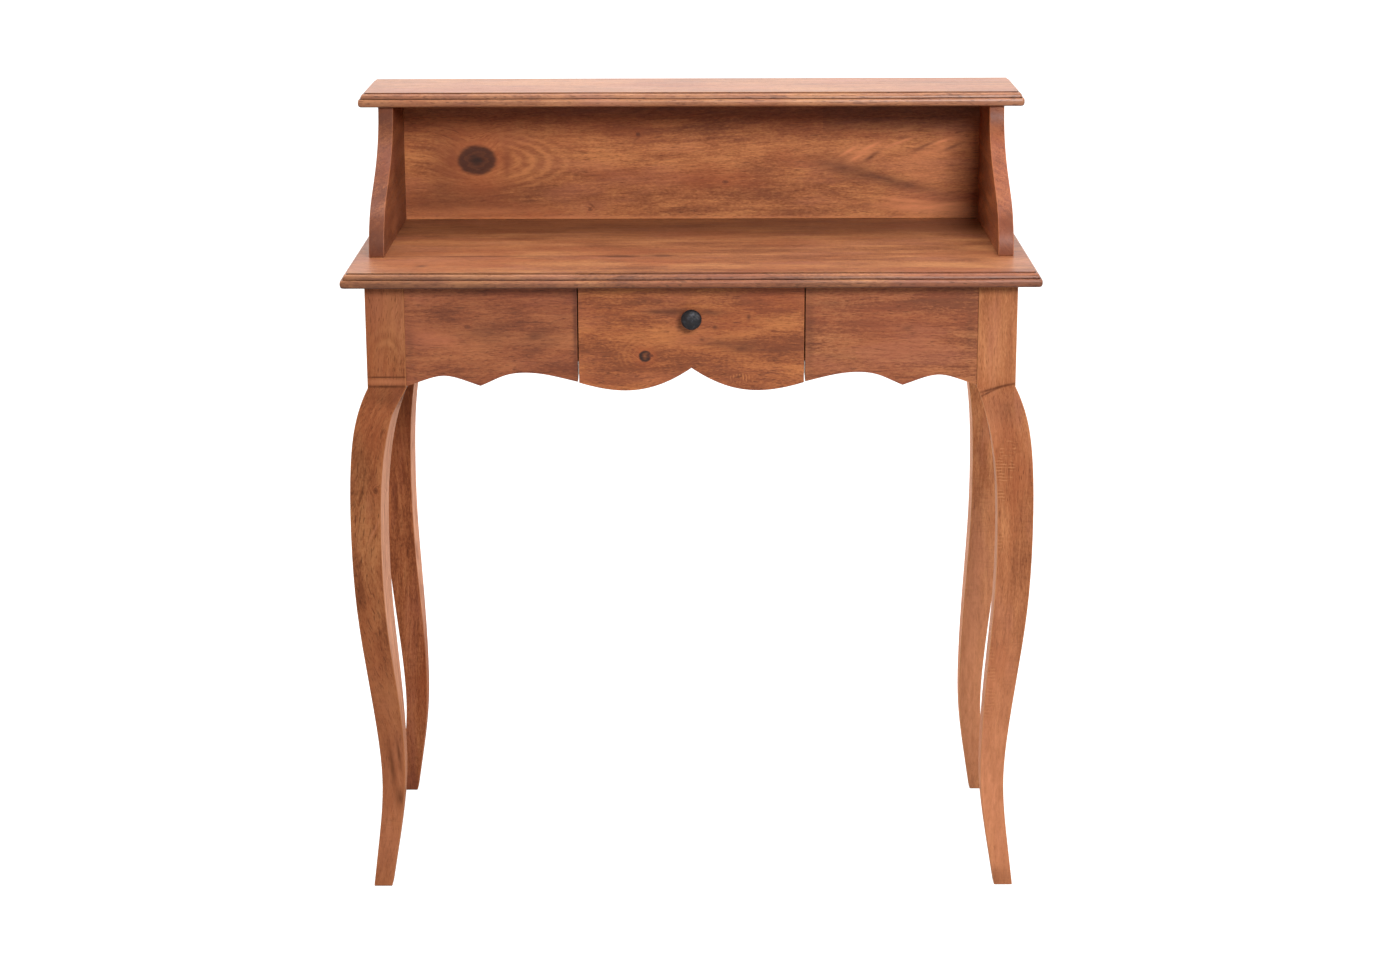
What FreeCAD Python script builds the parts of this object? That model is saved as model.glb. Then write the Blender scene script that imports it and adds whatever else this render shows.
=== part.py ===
# A small writing desk on cabriole legs, with one drawer, scalloped aprons and a raised shelf at the back.
# Sizes are millimetres. +X is to the sitter's right, +Y to the back and +Z up.
# The origin is on the floor, under the middle of the desktop.
import FreeCAD, Part
import math
import os

from FreeCAD import Vector

# Desktop
desk_width = 800.0
desk_depth = 385.0
desk_height = 755.0
board_thickness = 17.0

# Moulded edge on the front and ends of the desktop and the shelf: a quirk, an ovolo, a ledge and a bead
top_face_set_in = 8.0
quirk_drop = 1.5
ovolo_drop = 7.8
ovolo_set_in = 2.8
bead_top_set_in = 1.4
bead_under_set_in = 2.4

# Gallery on the desktop
gallery_height = 175.0
gallery_end_set_in = 22.5
gallery_set_in = 5.0
shelf_end_overhang = 23.5
shelf_depth = 144.0
bracket_thickness = 18.0
bracket_foot_depth = 275.0
bracket_head_depth = 134.0
gallery_back_thickness = 15.0
rebate_width = 8.0
scroll_back_shares = (0.0, 0.05, 0.13, 0.40, 0.75, 0.915, 1.0)
scroll_height_shares = (0.0, 0.185, 0.29, 0.45, 0.63, 0.775, 1.0)

# Legs: a square post that runs down into a sawn cabriole
side_overhang = 25.0
front_overhang = 27.5
rear_overhang = 40.0
leg_size = 45.0
foot_size = 22.0
knee_bow = 22.5
ankle_draw = 1.4
toe_flare = 11.0
leg_height_shares = (1.0, 0.94, 0.86, 0.74, 0.585, 0.425, 0.30, 0.20, 0.095, 0.0)
knee_shares = (0.0, 0.60, 0.90, 1.0, 0.875, 0.435, 0.06, 0.0, 0.0, 0.0)
ankle_shares = (0.0, 0.0, 0.0, 0.0, 0.0, 0.0, 0.0, 1.0, 0.0, 0.0)
toe_shares = (0.0, 0.0, 0.0, 0.0, 0.0, 0.0, 0.0, 0.0, 0.355, 1.0)
taper_shares = (1.0, 1.0, 0.895, 0.80, 0.73, 0.575, 0.37, 0.225, 0.113, 0.0)

# Aprons between the posts
apron_thickness = 18.0
apron_set_back = 2.0
apron_height = 120.0
post_below_apron = 2.0
back_apron_height = 120.0
small_arch_rise = 12.0
large_arch_rise = 15.4
drop_point_share = 0.432
small_arch_along_shares = (0.0, 0.257, 0.502, 0.794, 1.0)
small_arch_rise_shares = (0.0, 0.62, 1.0, 0.53, 0.0)
large_arch_along_shares = (0.0, 0.128, 0.254, 0.44, 0.68, 0.84, 1.0)
large_arch_rise_shares = (0.0, 0.42, 0.80, 1.0, 0.845, 0.585, 0.29)
tenon_thickness = 8.0
tenon_length = 22.0
tenon_top_shoulder = 12.0
tenon_bottom_shoulder = 14.0

# Drawer bay behind the front aprons
drawer_width = 260.0
drawer_gap = 1.5
divider_thickness = 15.0
divider_rise = 6.0
housing_depth = 5.0
runner_width = 16.0
runner_height = 12.0
stop_height = 25.0
stop_thickness = 14.0
block_height = 25.0

# Drawer
drawer_front_height = 125.7
drawer_front_thickness = 18.0
drawer_proud = 1.0
drawer_top_gap = 2.0
cusp_rise = 26.7
drawer_along_shares = (0.0, 0.192, 0.408, 0.623, 0.834, 1.0)
drawer_rise_shares = (0.352, 0.112, 0.0, 0.124, 0.513, 1.0)
kicker_gap = 3.0
drawer_side_height = 80.0
drawer_side_thickness = 10.0
drawer_back_thickness = 10.0
drawer_back_set_in = 8.0
drawer_back_lower = 6.0
drawer_back_housing = 4.0
drawer_bottom_thickness = 4.0
bottom_groove_depth = 5.0
bottom_groove_rise = 8.0
tail_count = 3
tail_length = 12.0
tail_root_share = 0.52
tail_end_share = 0.68

# Knob, turned about the drawer's pull axis
knob_drop = 39.0
knob_radius = 12.0
knob_length = 21.0
knob_bore_share = 0.6
knob_flange_share = 0.62
knob_neck_share = 0.40
knob_ring_share = 0.84
knob_disc_share = 0.68
knob_length_shares = (0.08, 0.16, 0.42, 0.66, 0.88, 0.95)

# Fixings
block_screw_length = 34.0
block_screw_radius = 2.0
gallery_screw_length = 45.0
gallery_screw_radius = 2.0
runner_screw_length = 25.0
runner_screw_radius = 1.6
bottom_screw_length = 16.0
bottom_screw_radius = 1.4
back_pin_length = 27.0
back_pin_radius = 0.9
knob_screw_radius = 2.0
knob_screw_head_height = 2.5
head_radius_share = 2.0
head_depth_share = 1.5
dowel_radius = 4.0
shelf_dowel_length = 30.0
shelf_dowel_depth = 12.0
divider_dowel_length = 28.0
divider_dowel_depth = 10.0
fixing_sides = 8
gallery_screw_shares = (0.25, 0.80)
shelf_dowel_shares = (0.25, 0.72)
back_pin_shares = (0.15, 0.5, 0.85)
runner_screw_shares = (0.12, 0.5, 0.88)
divider_dowel_shares = (0.3, 0.7)
bottom_screw_shares = (-0.7, 0.0, 0.7)
block_screw_share = 0.4

# Fits
joint_gap = 0.1
running_gap = 0.3
overrun = 10.0

# Places that follow from the sizes above
front_edge_y = -desk_depth / 2
rear_edge_y = desk_depth / 2
underside_z = desk_height - board_thickness
shelf_top_z = desk_height + gallery_height
shelf_underside_z = shelf_top_z - board_thickness
gallery_rear_y = rear_edge_y - gallery_set_in
gallery_width = desk_width - 2 * gallery_end_set_in
shelf_width = gallery_width + 2 * shelf_end_overhang
bracket_outer_x = gallery_width / 2
bracket_inner_x = bracket_outer_x - bracket_thickness
bracket_middle_x = bracket_outer_x - bracket_thickness / 2
bracket_foot_y = gallery_rear_y - bracket_foot_depth
bracket_head_y = gallery_rear_y - bracket_head_depth
gallery_back_y = gallery_rear_y - gallery_back_thickness
post_outer_x = desk_width / 2 - side_overhang
post_inner_x = post_outer_x - leg_size
base_front_y = front_edge_y + front_overhang
base_rear_y = rear_edge_y - rear_overhang
crease_z = underside_z - apron_height - post_below_apron
apron_low_z = underside_z - apron_height
apron_front_y = base_front_y + apron_set_back
apron_behind_y = apron_front_y + apron_thickness
side_apron_outer_x = post_outer_x - apron_set_back
side_apron_inner_x = side_apron_outer_x - apron_thickness
back_apron_rear_y = base_rear_y - apron_set_back
back_apron_front_y = back_apron_rear_y - apron_thickness
back_apron_low_z = underside_z - back_apron_height
divider_low_z = back_apron_low_z + divider_rise
tenon_inset = apron_set_back + (apron_thickness - tenon_thickness) / 2
opening_x = drawer_width / 2 + drawer_gap
divider_outer_x = opening_x + divider_thickness
runner_inner_x = opening_x - runner_width
drawer_side_top_z = underside_z - kicker_gap
drawer_side_low_z = drawer_side_top_z - drawer_side_height
runner_top_z = drawer_side_low_z - running_gap
runner_low_z = runner_top_z - runner_height
drawer_front_y = apron_front_y - drawer_proud
drawer_shoulder_y = drawer_front_y + drawer_front_thickness
drawer_rear_y = back_apron_front_y - stop_thickness - running_gap
drawer_inner_x = drawer_width / 2 - drawer_side_thickness
drawer_front_low_z = underside_z - drawer_front_height
groove_low_z = drawer_side_low_z + bottom_groove_rise
groove_top_z = groove_low_z + drawer_bottom_thickness
drawer_back_rear_y = drawer_rear_y - drawer_back_set_in
drawer_back_front_y = drawer_back_rear_y - drawer_back_thickness
drawer_back_top_z = drawer_side_top_z - drawer_back_lower
knob_z = underside_z - knob_drop
block_reach = 2 * leg_size


def box(x_ends, y_ends, z_ends, grow=0):
    """A block between three pairs of ends, given in any order, and grown on all sides."""
    low = Vector(min(x_ends) - grow, min(y_ends) - grow, min(z_ends) - grow)
    high = Vector(max(x_ends) + grow, max(y_ends) + grow, max(z_ends) + grow)
    size = high - low
    return Part.makeBox(size.x, size.y, size.z, low)


def line(start, end):
    return Part.LineSegment(start, end).toShape()


def arc(start, middle, end):
    return Part.Arc(start, middle, end).toShape()


def curve(points):
    """A smooth curve through a few points."""
    spline = Part.BSplineCurve()
    spline.interpolate(points)
    return spline.toShape()


def prism(edges, direction):
    """The closed outline of edges, pushed along a direction."""
    outline = Part.Wire(Part.__sortEdges__(edges))
    return Part.Face(outline).extrude(direction)


def polygon_prism(points, direction):
    return Part.Face(Part.makePolygon(points + points[:1])).extrude(direction)


def mix(start, end, share):
    return start + (end - start) * share


def tidy(shape):
    """Joins the flat faces that a fuse or cut has split."""
    return shape.removeSplitter()


# Boards with a moulded edge


def moulded_edge(point):
    """The moulding from the top face down to the underside: point(set_in, drop) places each of its points."""
    ease_share = 1 - math.sqrt(0.5)
    quirk = point(top_face_set_in, quirk_drop)
    ovolo_middle = point(
        mix(ovolo_set_in, top_face_set_in, ease_share), mix(quirk_drop, ovolo_drop, ease_share)
    )
    ovolo_end = point(ovolo_set_in, ovolo_drop)
    bead_top = point(bead_top_set_in, ovolo_drop)
    bead_middle = point(0, (ovolo_drop + board_thickness) / 2)
    bead_under = point(bead_under_set_in, board_thickness)
    return [
        line(point(top_face_set_in, 0), quirk),
        arc(quirk, ovolo_middle, ovolo_end),
        line(ovolo_end, bead_top),
        arc(bead_top, bead_middle, bead_under),
    ]


def moulded_board(width, depth, top_z, rear_y):
    """A board moulded on its front and ends, mitred at the corners, and square at the back."""
    front_y = rear_y - depth
    low_z = top_z - board_thickness
    end_x = width / 2

    def front_point(set_in, drop):
        return Vector(-end_x, front_y + set_in, top_z - drop)

    def left_point(set_in, drop):
        return Vector(-end_x + set_in, front_y, top_z - drop)

    def right_point(set_in, drop):
        return Vector(end_x - set_in, front_y, top_z - drop)

    rear_low = Vector(-end_x, rear_y, low_z)
    rear_top = Vector(-end_x, rear_y, top_z)
    along = moulded_edge(front_point) + [
        line(front_point(bead_under_set_in, board_thickness), rear_low),
        line(rear_low, rear_top),
        line(rear_top, front_point(top_face_set_in, 0)),
    ]
    across = moulded_edge(left_point) + moulded_edge(right_point) + [
        line(left_point(top_face_set_in, 0), right_point(top_face_set_in, 0)),
        line(left_point(bead_under_set_in, board_thickness), right_point(bead_under_set_in, board_thickness)),
    ]
    return prism(along, Vector(width, 0, 0)).common(prism(across, Vector(0, depth, 0)))


# Fixings


def turned_bar(start, direction, rings):
    """A many-sided bar along a direction: each ring is its distance from the start and its radius."""
    turns = [2 * math.pi * index / fixing_sides for index in range(fixing_sides)]
    rows = []
    for distance, radius in rings:
        rows.append([Vector(radius * math.cos(turn), radius * math.sin(turn), distance) for turn in turns])
    outlines = [rows[0], rows[-1]]
    for low, high in zip(rows, rows[1:]):
        for index in range(fixing_sides):
            outlines.append([low[index - 1], low[index], high[index], high[index - 1]])
    faces = [Part.Face(Part.makePolygon(outline + outline[:1])) for outline in outlines]
    bar = Part.makeSolid(Part.makeShell(faces))
    bar.Placement = FreeCAD.Placement(start, FreeCAD.Rotation(Vector(0, 0, 1), direction))
    return bar


def screw(head, direction, length, radius, grow=0):
    """A countersunk screw: head is the middle of its flat top, and it points along direction."""
    head_depth = radius * head_depth_share
    rings = [
        (0, radius * head_radius_share + grow),
        (head_depth, radius + grow),
        (length + grow, radius + grow),
    ]
    return turned_bar(head, direction, rings)


def dowel(start, direction, length, grow=0):
    return turned_bar(start, direction, [(-grow, dowel_radius + grow), (length + grow, dowel_radius + grow)])


def block_corner(side, end):
    """The inner corner of the aprons at one leg, and the two ways along them: end is -1 at the front."""
    corner_y = apron_behind_y if end < 0 else back_apron_front_y
    corner = Vector(side * side_apron_inner_x, corner_y, underside_z)
    return corner, Vector(-side, 0, 0), Vector(0, -end, 0)


def block_screws(grow=0):
    """One screw up through each corner block into the desktop."""
    made = []
    for side in (-1, 1):
        for end in (-1, 1):
            corner, along, across = block_corner(side, end)
            inward = (along + across) * (block_reach * block_screw_share)
            head = corner + inward - Vector(0, 0, block_height)
            made.append(screw(head, Vector(0, 0, 1), block_screw_length, block_screw_radius, grow))
    return made


def gallery_screws(grow=0):
    """Screws up through the desktop into the feet of the brackets."""
    made = []
    for side in (-1, 1):
        for share in gallery_screw_shares:
            head = Vector(side * bracket_middle_x, mix(bracket_foot_y, gallery_rear_y, share), underside_z)
            made.append(screw(head, Vector(0, 0, 1), gallery_screw_length, gallery_screw_radius, grow))
    return made


def shelf_dowels(grow=0):
    """Dowels from the heads of the brackets into the shelf."""
    made = []
    low_z = shelf_underside_z + shelf_dowel_depth - shelf_dowel_length
    for side in (-1, 1):
        for share in shelf_dowel_shares:
            start = Vector(side * bracket_middle_x, mix(bracket_head_y, gallery_rear_y, share), low_z)
            made.append(dowel(start, Vector(0, 0, 1), shelf_dowel_length, grow))
    return made


def back_pins(grow=0):
    """Pins through the gallery back into the rebates of the brackets."""
    made = []
    for side in (-1, 1):
        for share in back_pin_shares:
            pin_x = side * (bracket_inner_x + rebate_width / 2)
            head = Vector(pin_x, gallery_rear_y, mix(desk_height, shelf_underside_z, share))
            made.append(screw(head, Vector(0, -1, 0), back_pin_length, back_pin_radius, grow))
    return made


def divider_dowels(grow=0):
    """Dowels from the front aprons into the ends of the drawer bay's dividers."""
    made = []
    for side in (-1, 1):
        for share in divider_dowel_shares:
            dowel_z = mix(runner_low_z, underside_z, share)
            middle_x = side * (opening_x + divider_thickness / 2)
            start = Vector(middle_x, apron_behind_y - divider_dowel_depth, dowel_z)
            made.append(dowel(start, Vector(0, 1, 0), divider_dowel_length, grow))
    return made


def runner_screws(grow=0):
    """Screws from the inside of each runner into its divider."""
    made = []
    for side in (-1, 1):
        for share in runner_screw_shares:
            screw_y = mix(apron_behind_y, back_apron_front_y, share)
            head = Vector(side * runner_inner_x, screw_y, (runner_low_z + runner_top_z) / 2)
            made.append(screw(head, Vector(side, 0, 0), runner_screw_length, runner_screw_radius, grow))
    return made


def bottom_screws(grow=0):
    """Screws up through the drawer's bottom into the edge of its back."""
    made = []
    for share in bottom_screw_shares:
        middle_y = (drawer_back_front_y + drawer_back_rear_y) / 2
        head = Vector(drawer_inner_x * share, middle_y, groove_low_z)
        made.append(screw(head, Vector(0, 0, 1), bottom_screw_length, bottom_screw_radius, grow))
    return made


# Gallery


def gallery_bracket(side):
    """A bracket with a scrolled front edge and a rebate for the gallery back."""
    outer_x = side * bracket_outer_x
    scroll = [
        Vector(
            outer_x,
            mix(bracket_foot_y, bracket_head_y, back_share),
            mix(desk_height, shelf_underside_z, height_share),
        )
        for back_share, height_share in zip(scroll_back_shares, scroll_height_shares)
    ]
    rear_top = Vector(outer_x, gallery_rear_y, shelf_underside_z)
    rear_low = Vector(outer_x, gallery_rear_y, desk_height)
    edges = [curve(scroll), line(scroll[-1], rear_top), line(rear_top, rear_low), line(rear_low, scroll[0])]
    bracket = prism(edges, Vector(-side * bracket_thickness, 0, 0))
    rebate = box(
        (side * (bracket_inner_x - overrun), side * (bracket_inner_x + rebate_width)),
        (gallery_back_y, gallery_rear_y + overrun),
        (desk_height - overrun, shelf_underside_z + overrun),
    )
    holes = gallery_screws(joint_gap) + shelf_dowels(joint_gap) + back_pins(joint_gap)
    return tidy(bracket.cut([rebate] + holes))


def gallery_back():
    edge_x = bracket_inner_x + rebate_width
    panel = box((-edge_x, edge_x), (gallery_back_y, gallery_rear_y), (desk_height, shelf_underside_z))
    return panel.cut(back_pins(joint_gap))


def upper_shelf():
    return moulded_board(shelf_width, shelf_depth, shelf_top_z, gallery_rear_y).cut(shelf_dowels(joint_gap))


def desktop():
    board = moulded_board(desk_width, desk_depth, desk_height, rear_edge_y)
    return board.cut(gallery_screws(joint_gap) + block_screws(joint_gap))


# Legs and aprons


def cabriole_face(point):
    """One side view of a leg: point(out, height) places it, with out measured outwards from the post."""
    outer = []
    inner = []
    for station, height_share in enumerate(leg_height_shares):
        bow = knee_bow * knee_shares[station] - ankle_draw * ankle_shares[station]
        out = bow + toe_flare * toe_shares[station]
        thickness = mix(foot_size, leg_size, taper_shares[station])
        outer.append(point(out, crease_z * height_share))
        inner.append(point(out - thickness, crease_z * height_share))
    outer_top = point(0, underside_z)
    inner_top = point(-leg_size, underside_z)
    edges = [
        line(outer_top, outer[0]),
        curve(outer),
        line(outer[-1], inner[-1]),
        curve(inner),
        line(inner[0], inner_top),
        line(inner_top, outer_top),
    ]
    return Part.Face(Part.Wire(Part.__sortEdges__(edges)))


def leg(side, end):
    """A leg sawn to the same curve from two faces: side is -1 on the left and end is -1 at the front."""
    corner_y = base_front_y if end < 0 else base_rear_y

    def front_view(out, height):
        return Vector(side * (post_outer_x + out), front_edge_y, height)

    def side_view(out, height):
        return Vector(-desk_width / 2, corner_y + end * out, height)

    sawn_once = cabriole_face(front_view).extrude(Vector(0, desk_depth, 0))
    sawn_again = cabriole_face(side_view).extrude(Vector(desk_width, 0, 0))
    mortises = [side_tenon(side, end, joint_gap)]
    mortises.append(front_tenon(side, joint_gap) if end < 0 else back_tenon(side, joint_gap))
    return sawn_once.common(sawn_again).cut(mortises)


def tenon_heights(height):
    return underside_z - height + tenon_bottom_shoulder, underside_z - tenon_top_shoulder


def front_tenon(side, grow=0):
    inset_y = base_front_y + tenon_inset
    x_ends = (side * post_inner_x, side * (post_inner_x + tenon_length))
    return box(x_ends, (inset_y, inset_y + tenon_thickness), tenon_heights(apron_height), grow)


def back_tenon(side, grow=0):
    inset_y = base_rear_y - tenon_inset
    x_ends = (side * post_inner_x, side * (post_inner_x + tenon_length))
    return box(x_ends, (inset_y - tenon_thickness, inset_y), tenon_heights(back_apron_height), grow)


def side_tenon(side, end, grow=0):
    inset_x = post_outer_x - tenon_inset
    shoulder_y = base_front_y + leg_size if end < 0 else base_rear_y - leg_size
    x_ends = (side * inset_x, side * (inset_x - tenon_thickness))
    y_ends = (shoulder_y, shoulder_y + end * tenon_length)
    return box(x_ends, y_ends, tenon_heights(apron_height), grow)


def arch(point, start, end, along_shares, rise_shares, rise):
    """A scalloped stretch from start to end along a lower edge: point(along, rise) places it."""
    return curve(
        [
            point(mix(start, end, along_share), rise * rise_share)
            for along_share, rise_share in zip(along_shares, rise_shares)
        ]
    )


def front_apron(side):
    """The fixed panel beside the drawer: two arches with a drop point between them."""
    drop_x = mix(post_inner_x, opening_x, drop_point_share)

    def point(along, rise):
        return Vector(side * along, apron_front_y, apron_low_z + rise)

    end_rise = large_arch_rise * large_arch_rise_shares[-1]
    top_at_post = Vector(side * post_inner_x, apron_front_y, underside_z)
    top_at_drawer = Vector(side * opening_x, apron_front_y, underside_z)
    edges = [
        arch(point, post_inner_x, drop_x, small_arch_along_shares, small_arch_rise_shares, small_arch_rise),
        arch(point, drop_x, opening_x, large_arch_along_shares, large_arch_rise_shares, large_arch_rise),
        line(point(opening_x, end_rise), top_at_drawer),
        line(top_at_drawer, top_at_post),
        line(top_at_post, point(post_inner_x, 0)),
    ]
    panel = prism(edges, Vector(0, apron_thickness, 0))
    return tidy(panel.fuse(front_tenon(side)).cut(divider_dowels(joint_gap)))


def side_apron(side):
    """The end panel between two legs, with two equal arches and a drop point in the middle."""
    front_y = base_front_y + leg_size
    rear_y = base_rear_y - leg_size
    middle_y = (front_y + rear_y) / 2

    def point(along, rise):
        return Vector(side * side_apron_outer_x, along, apron_low_z + rise)

    top_front = Vector(side * side_apron_outer_x, front_y, underside_z)
    top_rear = Vector(side * side_apron_outer_x, rear_y, underside_z)
    edges = [
        arch(point, front_y, middle_y, small_arch_along_shares, small_arch_rise_shares, small_arch_rise),
        arch(point, rear_y, middle_y, small_arch_along_shares, small_arch_rise_shares, small_arch_rise),
        line(point(rear_y, 0), top_rear),
        line(top_rear, top_front),
        line(top_front, point(front_y, 0)),
    ]
    panel = prism(edges, Vector(-side * apron_thickness, 0, 0))
    return tidy(panel.fuse([side_tenon(side, -1), side_tenon(side, 1)]))


def back_apron():
    """A plain rail, with housings for the ends of the dividers."""
    rail = box(
        (-post_inner_x, post_inner_x),
        (back_apron_front_y, back_apron_rear_y),
        (back_apron_low_z, underside_z),
    )
    housings = [divider_block(side, joint_gap) for side in (-1, 1)]
    return tidy(rail.fuse([back_tenon(-1), back_tenon(1)]).cut(housings))


def corner_block(side, end):
    """A glue block across the corner of two aprons, notched round the leg and drilled for its screw."""
    corner, along, across = block_corner(side, end)
    notch = leg_size - apron_set_back - apron_thickness + joint_gap
    outline = [
        corner + along * notch,
        corner + along * block_reach,
        corner + across * block_reach,
        corner + across * notch,
        corner + along * notch + across * notch,
    ]
    return polygon_prism(outline, Vector(0, 0, -block_height)).cut(block_screws(joint_gap))


# Drawer bay


def divider_block(side, grow=0):
    return box(
        (side * opening_x, side * divider_outer_x),
        (apron_behind_y, back_apron_front_y + housing_depth),
        (divider_low_z, underside_z),
        grow,
    )


def divider(side):
    return divider_block(side).cut(divider_dowels(joint_gap) + runner_screws(joint_gap))


def runner(side):
    bar = box(
        (side * opening_x, side * runner_inner_x),
        (apron_behind_y, back_apron_front_y),
        (runner_low_z, runner_top_z),
    )
    return bar.cut(runner_screws(joint_gap))


def drawer_stop(side):
    return box(
        (side * opening_x, side * runner_inner_x),
        (back_apron_front_y - stop_thickness, back_apron_front_y),
        (runner_top_z, runner_top_z + stop_height),
    )


# Drawer


def dovetails(side, grow=0):
    """The tails on the front end of a drawer side, or the sockets for them if grown."""
    pitch = drawer_side_height / tail_count
    inner_x = drawer_inner_x - grow
    reach = drawer_side_thickness + 2 * grow
    made = []
    for index in range(tail_count):
        middle_z = drawer_side_low_z + pitch * (index + 0.5)
        root = pitch * tail_root_share / 2 + grow
        end = pitch * tail_end_share / 2 + grow
        end_y = drawer_shoulder_y - tail_length - grow
        outline = [
            Vector(side * inner_x, drawer_shoulder_y, middle_z - root),
            Vector(side * inner_x, end_y, middle_z - end),
            Vector(side * inner_x, end_y, middle_z + end),
            Vector(side * inner_x, drawer_shoulder_y, middle_z + root),
        ]
        made.append(polygon_prism(outline, Vector(side * reach, 0, 0)))
    return made


def bottom_groove():
    """The groove that holds the bottom, open at the back so that the bottom slides in."""
    edge_x = drawer_inner_x + bottom_groove_depth + joint_gap
    front_y = drawer_shoulder_y - bottom_groove_depth - joint_gap
    z_ends = (groove_low_z - joint_gap, groove_top_z + joint_gap)
    return box((-edge_x, edge_x), (front_y, drawer_rear_y + overrun), z_ends)


def drawer_back_block(grow=0):
    edge_x = drawer_inner_x + drawer_back_housing
    z_ends = (groove_top_z + joint_gap, drawer_back_top_z)
    return box((-edge_x, edge_x), (drawer_back_front_y, drawer_back_rear_y), z_ends, grow)


def drawer_front():
    """The drawer front: its lower edge sweeps up to a cusp in the middle."""
    half = drawer_width / 2

    def left(along, rise):
        return Vector(-along, drawer_front_y, drawer_front_low_z + rise)

    def right(along, rise):
        return Vector(along, drawer_front_y, drawer_front_low_z + rise)

    edge_rise = cusp_rise * drawer_rise_shares[0]
    top_z = underside_z - drawer_top_gap
    top_left = Vector(-half, drawer_front_y, top_z)
    top_right = Vector(half, drawer_front_y, top_z)
    edges = [
        arch(left, half, 0, drawer_along_shares, drawer_rise_shares, cusp_rise),
        arch(right, half, 0, drawer_along_shares, drawer_rise_shares, cusp_rise),
        line(right(half, edge_rise), top_right),
        line(top_right, top_left),
        line(top_left, left(half, edge_rise)),
    ]
    board = prism(edges, Vector(0, drawer_front_thickness, 0))
    sockets = dovetails(-1, joint_gap) + dovetails(1, joint_gap)
    return board.cut(sockets + [bottom_groove(), knob_screw_shank(joint_gap)])


def drawer_side(side):
    board = box(
        (side * drawer_inner_x, side * drawer_width / 2),
        (drawer_shoulder_y, drawer_rear_y),
        (drawer_side_low_z, drawer_side_top_z),
    )
    tailed = board.fuse(dovetails(side))
    return tidy(tailed.cut([bottom_groove(), drawer_back_block(joint_gap)]))


def drawer_back():
    return drawer_back_block().cut(bottom_screws(joint_gap))


def drawer_bottom():
    """A thin panel that slides into the grooves and under the back."""
    edge_x = drawer_inner_x + bottom_groove_depth
    front_y = drawer_shoulder_y - bottom_groove_depth
    panel = box((-edge_x, edge_x), (front_y, drawer_back_rear_y), (groove_low_z, groove_top_z))
    return panel.cut(bottom_screws(joint_gap))


def knob_screw_shank(grow=0):
    """The shank of the knob's screw, from the inside of the drawer front into the knob."""
    start = Vector(0, drawer_shoulder_y, knob_z)
    length = drawer_front_thickness + knob_length * knob_bore_share
    radius = knob_screw_radius + grow
    return turned_bar(start, Vector(0, -1, 0), [(0, radius), (length, radius)])


def knob_screw():
    """The screw from inside the drawer that holds the knob."""
    start = Vector(0, drawer_shoulder_y, knob_z)
    head_radius = knob_screw_radius * head_radius_share
    head = turned_bar(start, Vector(0, 1, 0), [(0, head_radius), (knob_screw_head_height, head_radius)])
    return tidy(knob_screw_shank().fuse(head))


def knob():
    """A turned knob: a flange, a neck, a flared rim with a chamfer, and a flat disc in a raised ring."""
    flange_top, neck_low, neck_high, rim_low, rim_high, disc_out = [
        knob_length * share for share in knob_length_shares
    ]
    flange = knob_radius * knob_flange_share
    neck = knob_radius * knob_neck_share
    ring = knob_radius * knob_ring_share
    disc = knob_radius * knob_disc_share

    def point(radius, out):
        return Vector(radius, drawer_front_y - out, knob_z)

    outline = [
        point(0, 0),
        point(flange, 0),
        point(flange, flange_top),
        point(neck, neck_low),
        point(neck, neck_high),
        point(knob_radius, rim_low),
        point(knob_radius, rim_high),
        point(ring, knob_length),
        point(disc, knob_length),
        point(disc, disc_out),
        point(0, disc_out),
    ]
    section = Part.Face(Part.makePolygon(outline + outline[:1]))
    turned = section.revolve(point(0, 0), Vector(0, 1, 0), 360)
    return turned.cut(knob_screw_shank(joint_gap))


def assembly():
    """Every piece of the desk by its node's name."""
    pieces = {
        "desktop": desktop(),
        "upper_shelf": upper_shelf(),
        "gallery_back": gallery_back(),
        "apron_back": back_apron(),
        "desktop_screws": Part.makeCompound(block_screws()),
        "gallery_screws": Part.makeCompound(gallery_screws()),
        "gallery_back_pins": Part.makeCompound(back_pins()),
        "shelf_dowels": Part.makeCompound(shelf_dowels()),
        "divider_dowels": Part.makeCompound(divider_dowels()),
        "runner_screws": Part.makeCompound(runner_screws()),
        "drawer_front": drawer_front(),
        "drawer_back": drawer_back(),
        "drawer_bottom": drawer_bottom(),
        "drawer_bottom_screws": Part.makeCompound(bottom_screws()),
        "drawer_knob": knob(),
        "knob_screw": knob_screw(),
    }
    for side, side_name in ((-1, "left"), (1, "right")):
        pieces["gallery_side_" + side_name] = gallery_bracket(side)
        pieces["apron_front_" + side_name] = front_apron(side)
        pieces["apron_side_" + side_name] = side_apron(side)
        pieces["divider_" + side_name] = divider(side)
        pieces["runner_" + side_name] = runner(side)
        pieces["drawer_stop_" + side_name] = drawer_stop(side)
        pieces["drawer_side_" + side_name] = drawer_side(side)
        for end, end_name in ((-1, "front"), (1, "rear")):
            pieces["leg_" + end_name + "_" + side_name] = leg(side, end)
            pieces["corner_block_" + end_name + "_" + side_name] = corner_block(side, end)
    return pieces


os.makedirs("parts", exist_ok=True)
for node, shape in assembly().items():
    shape.exportStep("parts/" + node + ".step")
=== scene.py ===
"""The finish, light and camera of a small writing desk with one drawer and a raised gallery."""
import logging
import math
from dataclasses import astuple, dataclass
from enum import Enum
from typing import Iterable, Mapping, Sequence

import bmesh
import bpy
from mathutils import Matrix, Vector, noise


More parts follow.
